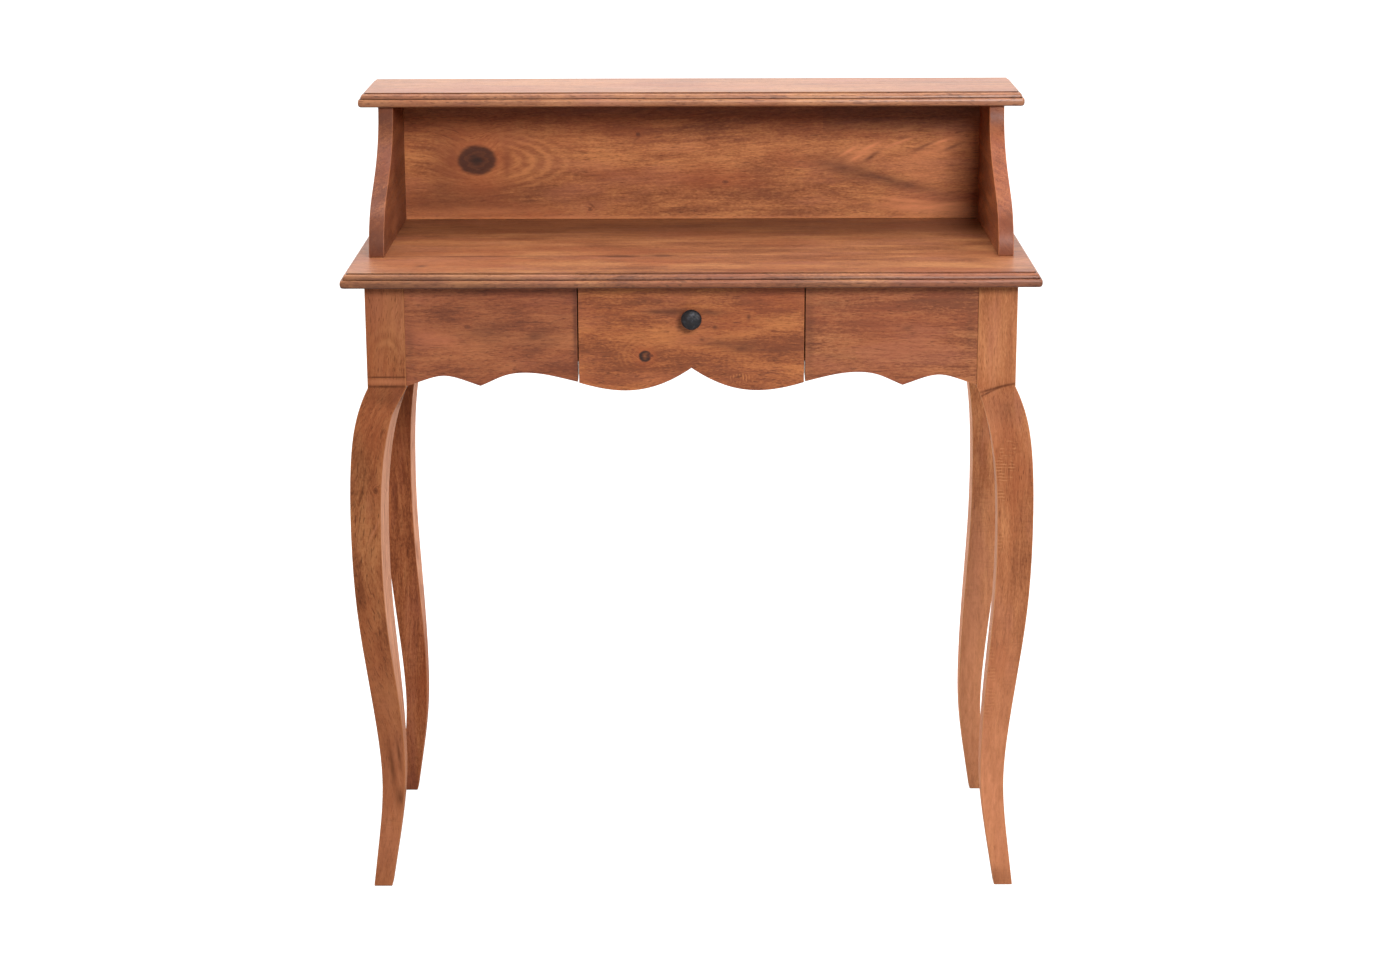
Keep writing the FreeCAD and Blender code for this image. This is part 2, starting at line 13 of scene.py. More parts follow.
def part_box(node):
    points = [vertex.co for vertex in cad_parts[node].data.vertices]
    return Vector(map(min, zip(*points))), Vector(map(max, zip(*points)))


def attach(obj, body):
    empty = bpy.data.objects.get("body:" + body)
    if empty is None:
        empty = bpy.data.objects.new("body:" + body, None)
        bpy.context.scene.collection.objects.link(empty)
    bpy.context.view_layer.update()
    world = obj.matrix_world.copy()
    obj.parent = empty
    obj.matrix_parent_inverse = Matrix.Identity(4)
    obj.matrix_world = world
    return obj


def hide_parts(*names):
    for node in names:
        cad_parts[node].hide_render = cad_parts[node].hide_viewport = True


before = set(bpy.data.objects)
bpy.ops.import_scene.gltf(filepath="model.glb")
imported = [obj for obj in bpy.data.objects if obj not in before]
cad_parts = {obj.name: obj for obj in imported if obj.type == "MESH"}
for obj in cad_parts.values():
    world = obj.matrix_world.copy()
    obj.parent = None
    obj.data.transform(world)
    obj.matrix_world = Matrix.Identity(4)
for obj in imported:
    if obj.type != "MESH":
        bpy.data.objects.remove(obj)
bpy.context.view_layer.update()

log = logging.getLogger("desk")

MM = 0.001
PHOTO_WIDTH_PX = 1400.0
SENSOR_WIDTH_MM = 36.0
# Face layers that the finishes read: rounded edges, which are painted paler; painted shade in the
# mouldings; and the legs' sawn sides, painted paler as sawn wood and sheen.
ARRIS_LAYER = "arris"
MOULDING_SHADE_LAYER = "hollow"
SAWN_SHEEN_LAYER = "sawn"
NOISE_MEAN = 0.5

Colour = tuple[float, float, float, float]
Socket = bpy.types.NodeSocket
Mesh = bmesh.types.BMesh


def srgb(red: int, green: int, blue: int) -> Colour:
    """Turns a colour as a screen shows it into the linear colour that a shader takes.

    Args:
        red: The red share, from 0 to 255.
        green: The green share, from 0 to 255.
        blue: The blue share, from 0 to 255.

    Returns:
        The linear colour, opaque.
    """
    shares = [value / 255 for value in (red, green, blue)]
    linear = [share / 12.92 if share <= 0.04045 else ((share + 0.055) / 1.055) ** 2.4 for share in shares]
    return linear[0], linear[1], linear[2], 1.0


# Shader writing


class Field:
    """A value socket of a node tree, whose Python operators add Math nodes."""

    def __init__(self, sheet: "ShaderSheet", socket: Socket) -> None:
        """Keeps the sheet that the socket belongs to."""
        self.sheet = sheet
        self.socket = socket

    def maths(self, operation: str, *values: "Field | float") -> "Field":
        """Adds one Math node.

        Args:
            operation: The Math node's operation.
            values: Its inputs, in order.

        Returns:
            The node's result.
        """
        made = self.sheet.node("ShaderNodeMath", {"operation": operation}, dict(enumerate(values)))
        return Field(self.sheet, made.outputs[0])

    def __add__(self, other: "Field | float") -> "Field":
        """This value plus another."""
        return self.maths("ADD", self, other)

    def __radd__(self, other: float) -> "Field":
        """A number plus this value."""
        return self.maths("ADD", other, self)

    def __sub__(self, other: "Field | float") -> "Field":
        """This value less another."""
        return self.maths("SUBTRACT", self, other)

    def __rsub__(self, other: float) -> "Field":
        """A number less this value."""
        return self.maths("SUBTRACT", other, self)

    def __mul__(self, other: "Field | float") -> "Field":
        """This value times another."""
        return self.maths("MULTIPLY", self, other)

    def __rmul__(self, other: float) -> "Field":
        """A number times this value."""
        return self.maths("MULTIPLY", other, self)

    def __truediv__(self, other: "Field | float") -> "Field":
        """This value divided by another."""
        return self.maths("DIVIDE", self, other)

    def squared(self) -> "Field":
        """This value times itself."""
        return self.maths("MULTIPLY", self, self)

    def root(self) -> "Field":
        """The square root."""
        return self.maths("SQRT", self)

    def falloff(self) -> "Field":
        """One at zero, falling smoothly to nothing as the value grows."""
        return self.maths("EXPONENT", self * -1.0)

    def fraction(self) -> "Field":
        """What is left over above the whole number."""
        return self.maths("FRACT", self)

    def size(self) -> "Field":
        """The value without its sign."""
        return self.maths("ABSOLUTE", self)

    def clipped(self) -> "Field":
        """The value held between nought and one."""
        made = self.sheet.node("ShaderNodeClamp", {}, {"Value": self})
        return Field(self.sheet, made.outputs[0])

    def step(self, low: float, high: float) -> "Field":
        """Nought below low and one above high, or the other way round, with a smooth step between."""
        settings = {"interpolation_type": "SMOOTHSTEP"}
        sockets = {"Value": self, "From Min": low, "From Max": high}
        return Field(self.sheet, self.sheet.node("ShaderNodeMapRange", settings, sockets).outputs[0])

    def hump(self, rise: tuple[float, float], fall: tuple[float, float]) -> "Field":
        """One between a rise and a fall, each given by where it starts and ends, and nought beyond."""
        return self.step(*rise) * (1.0 - self.step(*fall))


@dataclass(frozen=True)
class Figure:
    """Soft noise: how many features a metre has along each axis, its finer layers and their strength.

    Its share is how strongly it shows, and its low and high are the limits of a mask made from it.
    """

    stretch: tuple[float, float, float]
    detail: float = 2.0
    rough: float = 0.5
    share: float = 1.0
    low: float = 0.0
    high: float = 1.0


class ShaderSheet:
    """The node tree of a material or of the world, with the few ways that the finishes add to it."""

    def __init__(self, owner: bpy.types.Material | bpy.types.World) -> None:
        """Empties the owner's node tree."""
        owner.use_nodes = True
        self.owner = owner
        self.tree = owner.node_tree
        self.tree.nodes.clear()

    @classmethod
    def of_material(cls, name: str) -> "ShaderSheet":
        """A sheet for a new material."""
        return cls(bpy.data.materials.new(name))

    def node(
        self, kind: str, settings: Mapping[str, object], sockets: Mapping[str | int, object]
    ) -> bpy.types.Node:
        """Adds any node: its settings are set first, then its sockets.

        Args:
            kind: The node's type.
            settings: Its own settings; stops are a ramp's places and colours.
            sockets: A value or a link for each input, by name or number.

        Returns:
            The new node.
        """
        made = self.tree.nodes.new(kind)
        for key, setting in settings.items():
            if key == "stops":
                self.set_stops(made.color_ramp, setting)
            else:
                setattr(made, key, setting)
        for key, value in sockets.items():
            if isinstance(value, Field):
                self.tree.links.new(value.socket, made.inputs[key])
            elif isinstance(value, Socket):
                self.tree.links.new(value, made.inputs[key])
            else:
                made.inputs[key].default_value = value
        return made

    def set_stops(self, ramp: bpy.types.ColorRamp, stops: Sequence[tuple[float, Colour]]) -> None:
        """Gives a colour ramp its stops.

        Args:
            ramp: The ramp.
            stops: The place and colour of each stop, in order.
        """
        while len(ramp.elements) < len(stops):
            ramp.elements.new(1.0)
        for element, (place, colour) in zip(ramp.elements, stops):
            element.position = place
            element.color = colour

    def place(self) -> Socket:
        """The place on the object, in metres."""
        return self.node("ShaderNodeTexCoord", {}, {}).outputs["Object"]

    def parts(self, vector: Socket) -> list[Field]:
        """The three parts of a vector."""
        made = self.node("ShaderNodeSeparateXYZ", {}, {0: vector})
        return [Field(self, socket) for socket in made.outputs]

    def point(self, *parts: Field | float) -> Socket:
        """A vector from three values."""
        return self.node("ShaderNodeCombineXYZ", {}, dict(enumerate(parts))).outputs[0]

    def cloud(self, place: Socket, figure: Figure) -> Field:
        """Reads soft noise.

        Args:
            place: Where it is read.
            figure: What the noise is like.

        Returns:
            A value about the noise's mean.
        """
        stretching = {0: place, 1: figure.stretch}
        vector = self.node("ShaderNodeVectorMath", {"operation": "MULTIPLY"}, stretching).outputs[0]
        sockets = {"Vector": vector, "Scale": 1.0, "Detail": figure.detail, "Roughness": figure.rough}
        return Field(self, self.node("ShaderNodeTexNoise", {}, sockets).outputs[0])

    def mask(self, place: Socket, figure: Figure) -> Field:
        """The noise as patches, nought below its low limit and one above its high limit."""
        return self.cloud(place, figure).step(figure.low, figure.high)

    def swing(self, place: Socket, figure: Figure) -> Field:
        """The noise as a swing about nought, as strong as its share."""
        return (self.cloud(place, figure) - NOISE_MEAN) * figure.share

    def layer(self, name: str) -> Field:
        """A number that the mesh's faces carry under that name."""
        return Field(self, self.node("ShaderNodeAttribute", {"attribute_name": name}, {}).outputs["Fac"])

    def seen(self) -> Field:
        """One where a ray comes straight from the camera."""
        return Field(self, self.node("ShaderNodeLightPath", {}, {}).outputs["Is Camera Ray"])

    def blended(
        self, share: Field | float, under: Socket | Colour, over: Socket | Colour, way: str = "MIX"
    ) -> Socket:
        """Lays one colour over another.

        Args:
            share: How much of the upper colour shows.
            under: The lower colour.
            over: The upper colour.
            way: How they are blended.

        Returns:
            The blended colour.
        """
        settings = {"data_type": "RGBA", "blend_type": way}
        return self.node("ShaderNodeMix", settings, {0: share, 6: under, 7: over}).outputs[2]

    def shaded(self, colour: Socket, strength: Field) -> Socket:
        """A colour with all its parts multiplied by one value."""
        grey = self.point(strength, strength, strength)
        return self.blended(1.0, colour, grey, "MULTIPLY")

    def bumped(self, height: Field, distance: float, strength: float) -> Socket:
        """A normal that follows a height, given as a share of a distance in metres."""
        sockets = {"Height": height, "Distance": distance, "Strength": strength}
        return self.node("ShaderNodeBump", {}, sockets).outputs[0]

    def finish(self, sockets: Mapping[str, object]) -> bpy.types.Material:
        """Ends the material with a Principled shader.

        Args:
            sockets: The shader's inputs.

        Returns:
            The finished material.
        """
        shader = self.node("ShaderNodeBsdfPrincipled", {}, sockets)
        self.node("ShaderNodeOutputMaterial", {}, {"Surface": shader.outputs[0]})
        return self.owner


# Finishes


class Lie(Enum):
    """How a board lies: the axes along its grain, across its face and through its thickness."""

    UPRIGHT = (0, 2, 1)
    FLAT = (0, 1, 2)
    POST = (2, 0, 1)
    END = (1, 2, 0)


@dataclass(frozen=True)
class Knot:
    """A knot in a board's face, placed along and across the grain, in metres; its heart may be pale.

    The limits of its parts are counted in its own radius.
    """

    along: float
    across: float
    radius: float
    stretch: float = 1.3
    depth: float = 1.0
    heart: float = 0.0
    fray = 0.22
    spread = 2.9
    push_share = 1.5
    halo_scale = 0.55
    halo_share = 0.7
    rim = (1.12, 0.84)
    rim_share = 0.9
    ring_count = 1.7
    ring_fray = 1.2
    ring_rise = (0.2, 0.9)
    ring_share = 0.22
    bark = (1.15, 0.7)
    bark_share = 0.75
    heart_edge = (0.75, 0.0)
    heart_fray = 1.8
    core_edge = (0.62, 0.0)
    core_fray = 0.7
    core_share = 0.7


@dataclass(frozen=True)
class Whorl:
    """Nested arcs of grain about a point: their half length and half width, how many, and their strength.

    They lie all round it, or only on the side that a direction along and across the grain points to.
    """

    along: float
    across: float
    length: float
    width: float
    count: float
    strength: float
    ahead: float = 0.0
    aside: float = 0.0
    fray = 0.16
    rise = (0.1, 0.5)
    fall = (0.55, 0.95)
    rim = (1.05, 0.5)
    side_rise = (0.05, 0.5)
    trough_share = 0.8


@dataclass(frozen=True)
class Smudge:
    """A soft mark in a board's face: its middle, half length and half width in metres, and its strength.

    A strength below nought makes it pale. It may lean across the grain or be tilted along it.
    """

    along: float
    across: float
    length: float
    width: float
    strength: float
    lean: float = 0.0
    tilt: float = 0.0
    fray = 1.8


def smudged(*rows: tuple[float, ...]) -> tuple[Smudge, ...]:
    """Makes soft marks from rows that each hold one mark's numbers."""
    return tuple(Smudge(*row) for row in rows)


@dataclass(frozen=True)
class Chatter:
    """A row of short tool marks across the grain: its middle, half sizes, spacing and strength."""

    along: float
    across: float
    length: float
    width: float
    spacing: float
    strength: float
    fray = 0.9
    rise = (0.1, 0.4)
    fall = (0.5, 0.8)
    rim = (1.2, 0.6)
    trough_share = 0.5
    breaks = Figure((130.0, 110.0, 110.0), low=0.40, high=0.60)


@dataclass(frozen=True)
class Stave:
    """A strip of other wood glued into a board, right of a butt joint and above a glue line."""

    along: float
    across: float
    share: float
    glue_blur = 4.0 * MM
    butt_blur = 0.4 * MM


@dataclass(frozen=True)
class Palette:
    """The colours of one board."""

    pale: Colour
    body: Colour
    deep: Colour
    warm: Colour
    rosy: Colour
    dark: Colour
    gleam_share = 0.65

    def shade(self) -> Colour:
        """The brown of a soft dark mark, between the deep and the dark colour."""
        return tuple((deep + dark) / 2 for deep, dark in zip(self.deep, self.dark))

    def gleam(self) -> Colour:
        """The tint of a soft pale mark, lighter than the pale and the rosy colour."""
        return tuple(min(self.gleam_share * (pale + rosy), 1.0) for pale, rosy in zip(self.pale, self.rosy))

    def toned(self, red: float, green: float, blue: float) -> "Palette":
        """Puts the same colours under a stain.

        Args:
            red: The share of red that the stain lets through.
            green: The share of green.
            blue: The share of blue.

        Returns:
            The stained colours.
        """
        shares = (red, green, blue, 1.0)
        tones = [tuple(part * share for part, share in zip(tone, shares)) for tone in astuple(self)]
        return Palette(*tones)


HONEY = Palette(
    pale=srgb(196, 130, 84),
    body=srgb(170, 105, 66),
    deep=srgb(134, 76, 46),
    warm=srgb(164, 88, 54),
    rosy=srgb(180, 112, 86),
    dark=srgb(60, 29, 19),
)
STRAW = Palette(
    pale=srgb(214, 176, 128),
    body=srgb(196, 156, 108),
    deep=srgb(168, 124, 80),
    warm=srgb(190, 140, 92),
    rosy=srgb(202, 160, 122),
    dark=srgb(92, 60, 38),
)


@dataclass(frozen=True)
class Reading:
    """Where on a board a shader reads: along and across the grain, through the board, and as one place."""

    sheet: ShaderSheet
    along: Field
    across: Field
    through: Field
    place: Socket

    def oval(
        self,
        mark: Knot | Whorl | Smudge | Chatter,
        length: float,
        width: float,
        lean: float = 0.0,
        tilt: float = 0.0,
    ) -> Field:
        """Measures how far a point is from the middle of a mark.

        Args:
            mark: The mark.
            length: The half length that counts as one.
            width: The half width that counts as one.
            lean: How far the mark goes across the grain for each unit along it.
            tilt: How far it goes along the grain for each unit across it.

        Returns:
            The distance, squared, as a share of the mark's size.
        """
        ahead = self.along - mark.along
        aside = self.across - mark.across
        reach = ahead - aside * tilt if tilt else ahead
        side = aside - ahead * lean if lean else aside
        return (reach / length).squared() + (side / width).squared()


@dataclass(frozen=True)
class Timber:
    """An oiled board: how it lies, where the heart of its tree ran, its colours, marks and grain."""

    name: str
    lie: Lie
    palette: Palette
    heart_across: float
    heart_through: float
    seed: float
    heart_lean: float = 0.0
    contrast: float = 1.55
    cross_strength: float = 0.0
    knots: tuple[Knot, ...] = ()
    whorls: tuple[Whorl, ...] = ()
    smudges: tuple[Smudge, ...] = ()
    chatters: tuple[Chatter, ...] = ()
    staves: tuple[Stave, ...] = ()
    # The legs' sawn sides are painted paler, as paler sawn wood and as a painted sheen.
    sawn_sheen_share: float = 0.60
    gloss: float = 0.30
    coat: float = 0.10
    # How strongly the edges are painted paler, standing for abrasion and for a painted highlight.
    wear_and_highlight: float = 0.6
    black: Colour = srgb(26, 14, 11)
    # The pale tint of a leg's sawn side: paler sawn wood and a painted sheen.
    sawn_sheen_tint: Colour = srgb(224, 166, 136)
    seed_shares: tuple[float, float, float] = (1.0, 0.37, -0.61)
    through_share: float = 0.4
    stops: tuple[float, float, float] = (0.26, 0.5, 0.74)
    broad: Figure = Figure((2.2, 26.0, 10.0), share=0.6)
    mottle: Figure = Figure((13.0, 40.0, 40.0), 5.0, 0.62, share=0.95)
    band: Figure = Figure((7.0, 110.0, 50.0), 3.0, 0.6, share=0.5)
    streak: Figure = Figure((22.0, 330.0, 120.0), 3.0, 0.6, share=0.5)
    grit: Figure = Figure((230.0, 560.0, 560.0), 2.0, 0.6, share=0.6)
    fibre: Figure = Figure((60.0, 1500.0, 900.0), 2.0, 0.6, share=0.40)
    pore: Figure = Figure((120.0, 2000.0, 1300.0), 0.0, share=0.45, low=0.63, high=0.74)
    fleck: Figure = Figure((45.0, 520.0, 380.0), 1.0, share=0.4, low=0.64, high=0.78)
    flush: Figure = Figure((5.0, 17.0, 17.0), share=0.55, low=0.44, high=0.68)
    blush: Figure = Figure((9.0, 30.0, 24.0), 3.0, share=0.45, low=0.48, high=0.72)
    wander: Figure = Figure((3.2, 11.0, 11.0), 1.0, share=0.030)
    ripple: Figure = Figure((15.0, 40.0, 40.0), share=0.005)
    fray: Figure = Figure((45.0, 170.0, 170.0), 3.0, 0.65)
    saw_lines: Figure = Figure((420.0, 55.0, 55.0), 0.0, low=0.56, high=0.68)
    saw_patches: Figure = Figure((14.0, 40.0, 40.0), low=0.48, high=0.62)
    fibre_floor: float = 0.80
    ring_gap: float = 5.5 * MM
    ring_strength: float = 0.2
    ring_floor: float = 0.35
    late_rise: tuple[float, float] = (0.2, 0.9)
    late_fall: tuple[float, float] = (0.9, 1.0)
    cross_end: float = 590.0 * MM
    # Where a leg's sawn side is painted paler, as sawn wood and sheen: below the post, fading near the
    # foot.
    sawn_sheen_top: float = 612.0 * MM
    sawn_sheen_low: float = 160.0 * MM
    sawn_sheen_rise: float = 200.0 * MM
    sawn_sheen_foot_share: float = 0.3
    sawn_sheen_streak_share: float = 1.3
    saw_fade: float = 25.0 * MM
    end_facing: tuple[float, float] = (0.62, 0.95)
    end_share: float = 0.5
    # Painted shade on faces that turn downwards.
    underside_shade_facing: tuple[float, float] = (-0.2, -0.6)
    underside_shade_share: float = 0.55
    # Painted shade in the mouldings.
    moulding_shade_share: float = 0.8
    # Edges painted paler, as abrasion and as a painted highlight.
    rub_and_highlight_floor: float = 0.55
    rub_and_highlight_streak_share: float = 0.8
    relief: float = 0.25 * MM
    relief_strength: float = 0.55
    fibre_height: float = 0.45
    ring_height: float = 0.18
    pore_depth: float = 0.8
    saw_depth: float = 0.5
    roughness: float = 0.52
    streak_rough: float = 0.22
    pore_rough: float = 0.18
    sawn_rough: float = 0.3
    coat_roughness: float = 0.3

    def dress(self) -> bpy.types.Material:
        """Builds the board's material.

        Returns:
            The material, which reads only Object coordinates and the piece's own layers.
        """
        sheet = ShaderSheet.of_material(self.name)
        axes = sheet.parts(sheet.place())
        along, across, through = (axes[axis] for axis in self.lie.value)
        shifts = [share * self.seed for share in self.seed_shares]
        place = sheet.point(along + shifts[0], across + shifts[1], through + shifts[2])
        spot = Reading(sheet, along, across, through, place)
        rings = self.ring_distance(spot)
        grown = sheet.point(along + self.seed, rings + self.seed, through * self.through_share)

        late = (rings / self.ring_gap).fraction().hump(self.late_rise, self.late_fall)
        broad = sheet.cloud(grown, self.broad)
        streak = sheet.cloud(grown, self.streak)
        fibre = sheet.cloud(grown, self.fibre)
        pore = sheet.mask(grown, self.pore)
        fleck = sheet.mask(grown, self.fleck)
        mixed = (broad - NOISE_MEAN) * self.broad.share + sheet.swing(place, self.mottle)
        mixed = mixed + sheet.swing(grown, self.band) + (streak - NOISE_MEAN) * self.streak.share
        mixed = self.stops[1] + (mixed + sheet.swing(place, self.grit)) * self.contrast
        stops = list(zip(self.stops, (self.palette.deep, self.palette.body, self.palette.pale)))
        colour = sheet.node("ShaderNodeValToRGB", {"stops": stops}, {0: mixed}).outputs[0]
        for figure, tint in ((self.flush, self.palette.warm), (self.blush, self.palette.rosy)):
            colour = sheet.blended(sheet.mask(place, figure) * figure.share, colour, tint)
        ring_share = late * (self.ring_floor + broad) * self.ring_strength
        colour = sheet.blended(ring_share.clipped(), colour, self.palette.deep)
        colour = sheet.shaded(colour, self.fibre_floor + fibre * self.fibre.share)
        colour = sheet.blended(pore * self.pore.share, colour, self.palette.dark)
        colour = sheet.blended(fleck * self.fleck.share, colour, self.palette.dark)
        height = fibre * self.fibre_height + late * self.ring_height - pore * self.pore_depth
        if self.cross_strength:
            cross = self.cross_lines(spot)
            colour = sheet.blended(cross * self.cross_strength, colour, self.palette.dark)
            height = height - cross * self.saw_depth
        colour = self.marked(self.jointed(colour, spot), spot)
        colour = self.aged_and_shaded(colour, spot, streak)
        rough = self.roughness + (streak - NOISE_MEAN) * self.streak_rough + pore * self.pore_rough
        return sheet.finish(
            {
                "Base Color": colour,
                "Roughness": rough + sheet.layer(SAWN_SHEEN_LAYER) * self.sawn_rough,
                "Specular IOR Level": self.gloss,
                "Coat Weight": self.coat,
                "Coat Roughness": self.coat_roughness,
                "Normal": sheet.bumped(height, self.relief, self.relief_strength),
            }
        )

    def ring_distance(self, spot: Reading) -> Field:
        """Works out how far a point is from the tree's heart, where the grain wanders and goes round knots.

        Args:
            spot: Where on the board the shader reads.

        Returns:
            The distance in metres.
        """
        off_across = spot.across - self.heart_across - spot.along * self.heart_lean
        off_through = spot.through - self.heart_through
        rings = (off_across.squared() + off_through.squared()).root()
        for figure in (self.wander, self.ripple):
            rings = rings + spot.sheet.swing(spot.place, figure)
        for knot in self.knots:
            gap = spot.oval(knot, knot.radius * knot.stretch, knot.radius)
            rings = rings + (gap / knot.spread).falloff() * (knot.radius * knot.push_share)
        return rings

    def cross_lines(self, spot: Reading) -> Field:
        """Makes short saw marks across the grain, in patches, on the sawn length of a leg.

        Args:
            spot: Where on the board the shader reads.

        Returns:
            The marks, from nought to one.
        """
        lines = spot.sheet.mask(spot.place, self.saw_lines)
        patches = spot.sheet.mask(spot.place, self.saw_patches)
        return lines * patches * spot.along.step(self.cross_end, self.cross_end - self.saw_fade)

    def jointed(self, colour: Socket, spot: Reading) -> Socket:
        """Lays the board's glued strips over its colour.

        Args:
            colour: The colour so far.
            spot: Where on the board the shader reads.

        Returns:
            The colour with the strips.
        """
        for stave in self.staves:
            above = spot.across.step(stave.across - stave.glue_blur, stave.across + stave.glue_blur)
            beyond = spot.along.step(stave.along - stave.butt_blur, stave.along + stave.butt_blur)
            colour = spot.sheet.blended(above * beyond * stave.share, colour, self.palette.dark)
        return colour

    def marked(self, colour: Socket, spot: Reading) -> Socket:
        """Lays the board's arcs, smudges, tool marks and knots over its colour.

        Args:
            colour: The colour so far.
            spot: Where on the board the shader reads.

        Returns:
            The marked colour.
        """
        if not (self.knots or self.whorls or self.smudges or self.chatters):
            return colour
        fray = spot.sheet.swing(spot.place, self.fray)
        for whorl in self.whorls:
            gap = spot.oval(whorl, whorl.length, whorl.width).root() + fray * whorl.fray
            crest = (gap * whorl.count).fraction().hump(whorl.rise, whorl.fall)
            inside = gap.step(*whorl.rim) * whorl.strength
            if whorl.ahead or whorl.aside:
                ahead = (spot.along - whorl.along) * (whorl.ahead / whorl.length)
                aside = (spot.across - whorl.across) * (whorl.aside / whorl.width)
                inside = inside * (ahead + aside).step(*whorl.side_rise)
            colour = self.ridged(colour, crest, inside, whorl.trough_share)
        for smudge in self.smudges:
            oval = spot.oval(smudge, smudge.length, smudge.width, smudge.lean, smudge.tilt)
            mask = (oval + fray * smudge.fray).falloff()
            tint = self.palette.shade() if smudge.strength > 0 else self.palette.gleam()
            colour = spot.sheet.blended((mask * abs(smudge.strength)).clipped(), colour, tint)
        for chatter in self.chatters:
            stroke = ((spot.along - chatter.along) / chatter.spacing + fray * chatter.fray).fraction()
            inside = spot.oval(chatter, chatter.length, chatter.width).step(*chatter.rim)
            inside = inside * spot.sheet.mask(spot.place, chatter.breaks) * chatter.strength
            crest = stroke.hump(chatter.rise, chatter.fall)
            colour = self.ridged(colour, crest, inside, chatter.trough_share)
        for knot in self.knots:
            colour = self.knotted(colour, spot, knot, fray)
        return colour

    def ridged(self, colour: Socket, crest: Field, inside: Field, trough_share: float) -> Socket:
        """Lays pale ridges and deep troughs over the board's colour.

        Args:
            colour: The colour so far.
            crest: One on a ridge and nought in a trough.
            inside: How strongly they show.
            trough_share: How strong the troughs are beside the ridges.

        Returns:
            The colour with the ridges.
        """
        colour = crest.sheet.blended(crest * inside, colour, self.palette.pale)
        return crest.sheet.blended((1.0 - crest) * inside * trough_share, colour, self.palette.deep)

    def knotted(self, colour: Socket, spot: Reading, knot: Knot, fray: Field) -> Socket:
        """Lays one knot over the board's colour.

        Args:
            colour: The colour so far.
            spot: Where on the board the shader reads.
            knot: The knot.
            fray: Noise that makes its edge uneven.

        Returns:
            The colour with the knot.
        """
        sheet = spot.sheet
        round_gap = spot.oval(knot, knot.radius * knot.stretch, knot.radius).root()
        gap = round_gap + fray * knot.fray
        halo = (gap * knot.halo_scale).squared().falloff()
        colour = sheet.blended((halo * (knot.halo_share * knot.depth)).clipped(), colour, self.palette.warm)
        ring = (gap * knot.ring_count + fray * knot.ring_fray).fraction().step(*knot.ring_rise)
        heart = sheet.blended(ring * knot.ring_share, self.palette.dark, self.palette.deep)
        colour = sheet.blended(gap.step(*knot.rim) * (knot.rim_share * knot.depth), colour, heart)
        if knot.heart:
            colour = sheet.blended(gap.step(*knot.bark) * knot.bark_share, colour, self.black)
            middle = (gap + fray * knot.heart_fray).step(*knot.heart_edge)
            return sheet.blended(middle * knot.heart, colour, self.palette.body)
        core = (round_gap + fray * knot.core_fray).step(*knot.core_edge)
        return sheet.blended(core * (knot.core_share * knot.depth), colour, self.black)

    def sawn(self, spot: Reading, streak: Field) -> Field:
        """Works out how pale a leg's sawn side is painted, as paler sawn wood and as a painted sheen: less
        near the foot, and not at all on the post.

        Args:
            spot: Where on the board the shader reads.
            streak: The board's streaks, which show through.

        Returns:
            The share of the pale tint.
        """
        above_foot = spot.along.step(self.sawn_sheen_low, self.sawn_sheen_low + self.sawn_sheen_rise)
        height_share = self.sawn_sheen_foot_share + above_foot * (1.0 - self.sawn_sheen_foot_share)
        below_post = spot.along.step(self.sawn_sheen_top, self.sawn_sheen_top - self.saw_fade)
        grain_share = (self.sawn_sheen_share + (streak - NOISE_MEAN) * self.sawn_sheen_streak_share).clipped()
        return spot.sheet.layer(SAWN_SHEEN_LAYER) * height_share * below_post * grain_share

    def aged_and_shaded(self, colour: Socket, spot: Reading, streak: Field) -> Socket:
        """Darkens end grain, paints shade into the mouldings and onto faces that turn downwards, paints a
        leg's sawn side paler as sawn wood and sheen, and paints the other edges paler as abrasion and
        highlight.

        Args:
            colour: The colour so far.
            spot: Where on the board the shader reads.
            streak: The board's streaks, which make the pale edges and the sawn side uneven.

        Returns:
            The aged colour, with its painted shade, sheen and highlights.
        """
        sheet = spot.sheet
        facing = sheet.parts(sheet.node("ShaderNodeNewGeometry", {}, {}).outputs["Normal"])
        # Painted shade on faces that turn downwards, laid over last.
        under = facing[2].step(*self.underside_shade_facing)
        end_grain = facing[self.lie.value[0]].size().step(*self.end_facing)
        colour = sheet.blended(end_grain * self.end_share, colour, self.palette.deep)
        # A leg's sawn side painted paler, as paler sawn wood and as a painted sheen.
        if self.lie is Lie.POST:
            colour = sheet.blended(self.sawn(spot, streak), colour, self.sawn_sheen_tint)
        # Painted shade in the mouldings' grooves and on their faces that turn away from the light.
        colour = sheet.blended(sheet.layer(MOULDING_SHADE_LAYER) * self.moulding_shade_share, colour, self.palette.dark)
        # Edges painted paler, as abrasion and as a painted highlight, except where they turn downwards into
        # the painted shade.
        rubbed_and_lit = sheet.layer(ARRIS_LAYER) * (1.0 - under)
        rubbed_and_lit = rubbed_and_lit * (self.rub_and_highlight_floor + streak * self.rub_and_highlight_streak_share) * self.wear_and_highlight
        colour = sheet.blended(rubbed_and_lit.clipped(), colour, self.palette.pale)
        return sheet.blended(under * self.underside_shade_share, colour, self.palette.dark)


